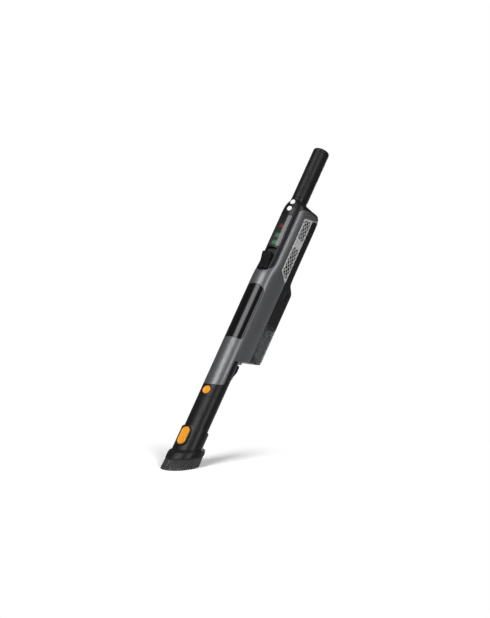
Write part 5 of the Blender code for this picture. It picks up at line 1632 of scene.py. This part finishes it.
def make_floor(finish):
    """A wide level sheet in the plane of the bristle tips: z = base + slope y. Seen from behind it is clear, so
    that views from the other side aren't blocked."""
    half = 9.0
    base, slope = TIP_PLANE
    x = np.linspace(-half, half, 9)
    y = np.linspace(-half, half, 9)
    grid_x, grid_y = np.meshgrid(x, y)
    grid = np.stack((grid_x, grid_y, base + slope * grid_y - 0.0002), -1)
    floor = mesh_piece("floor", [grid])
    made, tree, shader, place = fresh("floor_paper")
    noise = node(tree, "ShaderNodeTexNoise", {"Vector": place, "Scale": 40.0, "Detail": 6.0})
    tone = stretch(tree, noise.outputs[0], 0.3, 0.7, 0.985, 1.0)
    path = node(tree, "ShaderNodeLightPath").outputs["Is Camera Ray"]
    gain = maths(tree, "ADD", maths(tree, "MULTIPLY", path, 0.45), 0.85)
    paper = scaled_colour(tree, finish.floor, maths(tree, "MULTIPLY", tone, gain))
    shader = node(tree, "ShaderNodeBsdfDiffuse", {"Color": paper})
    distance = node(tree, "ShaderNodeVectorMath", {0: place}, operation="LENGTH").outputs["Value"]
    far = maths(tree, "MULTIPLY", stretch(tree, distance, 0.10, 0.26), path)
    white = node(tree, "ShaderNodeEmission", {"Strength": 1.0})
    lit = node(tree, "ShaderNodeMixShader", {0: far})
    tree.links.new(shader.outputs[0], lit.inputs[1])
    tree.links.new(white.outputs[0], lit.inputs[2])
    clear = node(tree, "ShaderNodeBsdfTransparent")
    facing = node(tree, "ShaderNodeNewGeometry").outputs["Backfacing"]
    both = node(tree, "ShaderNodeMixShader", {0: facing})
    tree.links.new(lit.outputs[0], both.inputs[1])
    tree.links.new(clear.outputs[0], both.inputs[2])
    tree.links.new(both.outputs[0], tree.nodes["Material Output"].inputs["Surface"])
    floor.data.materials.append(made)


def make_world():
    """White behind the object, a dimmer even light everywhere else."""
    world = bpy.data.worlds.new("studio")
    bpy.context.scene.world = world
    world.use_nodes = True
    tree = world.node_tree
    tree.nodes.clear()
    output = node(tree, "ShaderNodeOutputWorld")
    room = node(tree, "ShaderNodeBackground", {"Color": (0.93, 0.95, 1.0, 1), "Strength": 0.11})
    white = node(tree, "ShaderNodeBackground", {"Color": (1, 1, 1, 1), "Strength": 1.0})
    seen = node(tree, "ShaderNodeLightPath").outputs["Is Camera Ray"]
    both = node(tree, "ShaderNodeMixShader", {0: seen})
    tree.links.new(room.outputs[0], both.inputs[1])
    tree.links.new(white.outputs[0], both.inputs[2])
    tree.links.new(both.outputs[0], output.inputs["Surface"])


def make_stage(scene):
    make_camera(scene.vacuum_sizes)
    make_floor(scene.vacuum_finish)
    make_world()
    right, up, back = view_axes()
    above = Vector((0, -TIP_PLANE[1], 1)).normalized()
    make_light("key_light", above * 0.80 - right * 0.45 + back * 0.35, 2.2, (1.1, 1.1), 33)
    make_light("side_light", Vector((0.762, -0.533, 0.358)), 1.9, (0.35, 2.0), 22)
    make_light("fill_light", back * 0.75 - right * 0.75 + up * 0.1, 2.4, (1.2, 1.6), 4)
    make_light("rear_light", Vector((-0.35, 0.85, 0.55)), 2.2, (1.0, 1.0), 20)
    scene.view_settings.view_transform = "Standard"
    scene.view_settings.look = "None"


# ---------------------------------------------------------------- settings
def colour_setting(name, description, default):
    return FloatVectorProperty(name=name, description=description, default=default, subtype="COLOR", size=3,
                               min=0.0, max=1.0)


class VacuumSizes(bpy.types.PropertyGroup):
    """Sizes that a maker may change."""

    lens: FloatProperty(name="Lens", description="Camera focal length in millimetres", default=200.0, min=35.0)


class VacuumFinish(bpy.types.PropertyGroup):
    """Colours that a maker may change."""

    shell: colour_setting("Shell", "Gunmetal lacquer of the front shell", (0.105, 0.107, 0.112))
    panel: colour_setting("Panel", "Control panel", (0.009, 0.009, 0.0105))
    black: colour_setting("Black", "Moulded black plastic", (0.009, 0.009, 0.010))
    grip: colour_setting("Grip", "Grip plastic", (0.009, 0.009, 0.010))
    badge: colour_setting("Badge", "Gloss badge", (0.004, 0.004, 0.005))
    silver: colour_setting("Silver", "Side grilles and trim", (0.62, 0.62, 0.61))
    orange: colour_setting("Orange", "Release keys", (0.84, 0.33, 0.015))
    white: colour_setting("White", "Power and mode keys", (0.82, 0.82, 0.81))
    cup: colour_setting("Cup", "Clear dust cup", (0.30, 0.31, 0.32))
    window_low: colour_setting("Window foot", "Lower part of the display window", (0.038, 0.036, 0.036))
    window_high: colour_setting("Window head", "Upper part of the display window", (0.014, 0.013, 0.014))
    lamp_red: colour_setting("Red lamp", "Status lamp", (0.32, 0.035, 0.05))
    lamp_green: colour_setting("Green lamp", "Charge lamps", (0.06, 0.50, 0.16))
    bristle_root: colour_setting("Bristle", "Bristles", (0.010, 0.010, 0.011))
    bristle_tip: colour_setting("Bristle tip", "Cut tips of the bristles", (0.60, 0.60, 0.61))
    floor: colour_setting("Floor", "Pale floor", (0.90, 0.90, 0.90))


# ---------------------------------------------------------------- operators
class VACUUM_OT_grip(bpy.types.Operator):
    """Turned grip and its end cap"""

    bl_idname = "vacuum.grip"
    bl_label = "Grip"

    def execute(self, context):
        make_grip()
        return {"FINISHED"}


class VACUUM_OT_front_panel(bpy.types.Operator):
    """Black control panel with its openings"""

    bl_idname = "vacuum.front_panel"
    bl_label = "Front Panel"

    def execute(self, context):
        make_front_panel()
        return {"FINISHED"}


class VACUUM_OT_display(bpy.types.Operator):
    """Smoked window with the lamps' glow"""

    bl_idname = "vacuum.display"
    bl_label = "Display"

    def execute(self, context):
        make_display()
        return {"FINISHED"}


class VACUUM_OT_keys(bpy.types.Operator):
    """White power and mode keys"""

    bl_idname = "vacuum.keys"
    bl_label = "Keys"

    def execute(self, context):
        make_keys()
        return {"FINISHED"}


class VACUUM_OT_release_slider(bpy.types.Operator):
    """Ribbed slider that frees the bin"""

    bl_idname = "vacuum.release_slider"
    bl_label = "Release Slider"

    def execute(self, context):
        make_release_slider()
        make_return_spring()
        return {"FINISHED"}


class VACUUM_OT_front_shell(bpy.types.Operator):
    """Gunmetal shell of body, neck and shoulder"""

    bl_idname = "vacuum.front_shell"
    bl_label = "Front Shell"

    def execute(self, context):
        make_front_shell()
        return {"FINISHED"}


class VACUUM_OT_badge(bpy.types.Operator):
    """Blank gloss badge"""

    bl_idname = "vacuum.badge"
    bl_label = "Badge"

    def execute(self, context):
        make_badge()
        return {"FINISHED"}


class VACUUM_OT_grilles(bpy.types.Operator):
    """Silver side grilles and the seam's trim line"""

    bl_idname = "vacuum.grilles"
    bl_label = "Grilles"

    def execute(self, context):
        make_grilles()
        return {"FINISHED"}


class VACUUM_OT_rear_cover(bpy.types.Operator):
    """Rear wall with charge socket and screws"""

    bl_idname = "vacuum.rear_cover"
    bl_label = "Rear Cover"

    def execute(self, context):
        make_rear_cover()
        return {"FINISHED"}


class VACUUM_OT_bin(bpy.types.Operator):
    """Filter housing, clear cup, door and filters"""

    bl_idname = "vacuum.bin"
    bl_label = "Dust Bin"

    def execute(self, context):
        make_bin_head()
        make_dust_cup()
        make_door()
        make_filters()
        return {"FINISHED"}


class VACUUM_OT_neck(bpy.types.Operator):
    """Rear of the neck and the door lever"""

    bl_idname = "vacuum.neck"
    bl_label = "Neck"

    def execute(self, context):
        make_neck_rear()
        make_lever()
        return {"FINISHED"}


class VACUUM_OT_nozzle(bpy.types.Operator):
    """Crevice nozzle with its orange key"""

    bl_idname = "vacuum.nozzle"
    bl_label = "Nozzle"

    def execute(self, context):
        make_nozzle()
        return {"FINISHED"}


class VACUUM_OT_brush(bpy.types.Operator):
    """Brush sleeve and skirt with their orange key"""

    bl_idname = "vacuum.brush"
    bl_label = "Brush"

    def execute(self, context):
        make_brush()
        return {"FINISHED"}


class VACUUM_OT_bristles(bpy.types.Operator):
    """Two rows of bristle tufts"""

    bl_idname = "vacuum.bristles"
    bl_label = "Bristles"

    def execute(self, context):
        make_bristles()
        return {"FINISHED"}


class VACUUM_OT_inner_parts(bpy.types.Operator):
    """Finishes of the parts inside"""

    bl_idname = "vacuum.inner_parts"
    bl_label = "Inner Parts"

    def execute(self, context):
        finish_inner_parts()
        return {"FINISHED"}


class VACUUM_OT_stage(bpy.types.Operator):
    """Floor, lights, world and camera"""

    bl_idname = "vacuum.stage"
    bl_label = "Stage"

    def execute(self, context):
        make_stage(context.scene)
        return {"FINISHED"}


OPERATORS = (
    VACUUM_OT_stage, VACUUM_OT_grip, VACUUM_OT_front_panel, VACUUM_OT_display, VACUUM_OT_keys,
    VACUUM_OT_release_slider, VACUUM_OT_front_shell, VACUUM_OT_badge, VACUUM_OT_grilles, VACUUM_OT_rear_cover,
    VACUUM_OT_bin, VACUUM_OT_neck, VACUUM_OT_nozzle, VACUUM_OT_brush, VACUUM_OT_bristles, VACUUM_OT_inner_parts,
)


class VACUUM_PT_panel(bpy.types.Panel):
    """Sidebar list of the vacuum's pieces and settings"""

    bl_idname = "VACUUM_PT_panel"
    bl_label = "Handheld Vacuum"
    bl_space_type = "VIEW_3D"
    bl_region_type = "UI"
    bl_category = "Vacuum"

    def draw(self, context):
        for operator in OPERATORS:
            self.layout.operator(operator.bl_idname)
        for group in (context.scene.vacuum_sizes, context.scene.vacuum_finish):
            for name in group.bl_rna.properties.keys():
                if name not in {"rna_type", "name"}:
                    self.layout.prop(group, name)


CLASSES = (VacuumSizes, VacuumFinish, *OPERATORS, VACUUM_PT_panel)


def register():
    for item in CLASSES:
        bpy.utils.register_class(item)
    bpy.types.Scene.vacuum_sizes = PointerProperty(type=VacuumSizes)
    bpy.types.Scene.vacuum_finish = PointerProperty(type=VacuumFinish)


def unregister():
    del bpy.types.Scene.vacuum_finish
    del bpy.types.Scene.vacuum_sizes
    for item in reversed(CLASSES):
        bpy.utils.unregister_class(item)


def main():
    register()
    for operator in OPERATORS:
        group, name = operator.bl_idname.split(".")
        getattr(getattr(bpy.ops, group), name)()


if __name__ == "__main__":
    main()
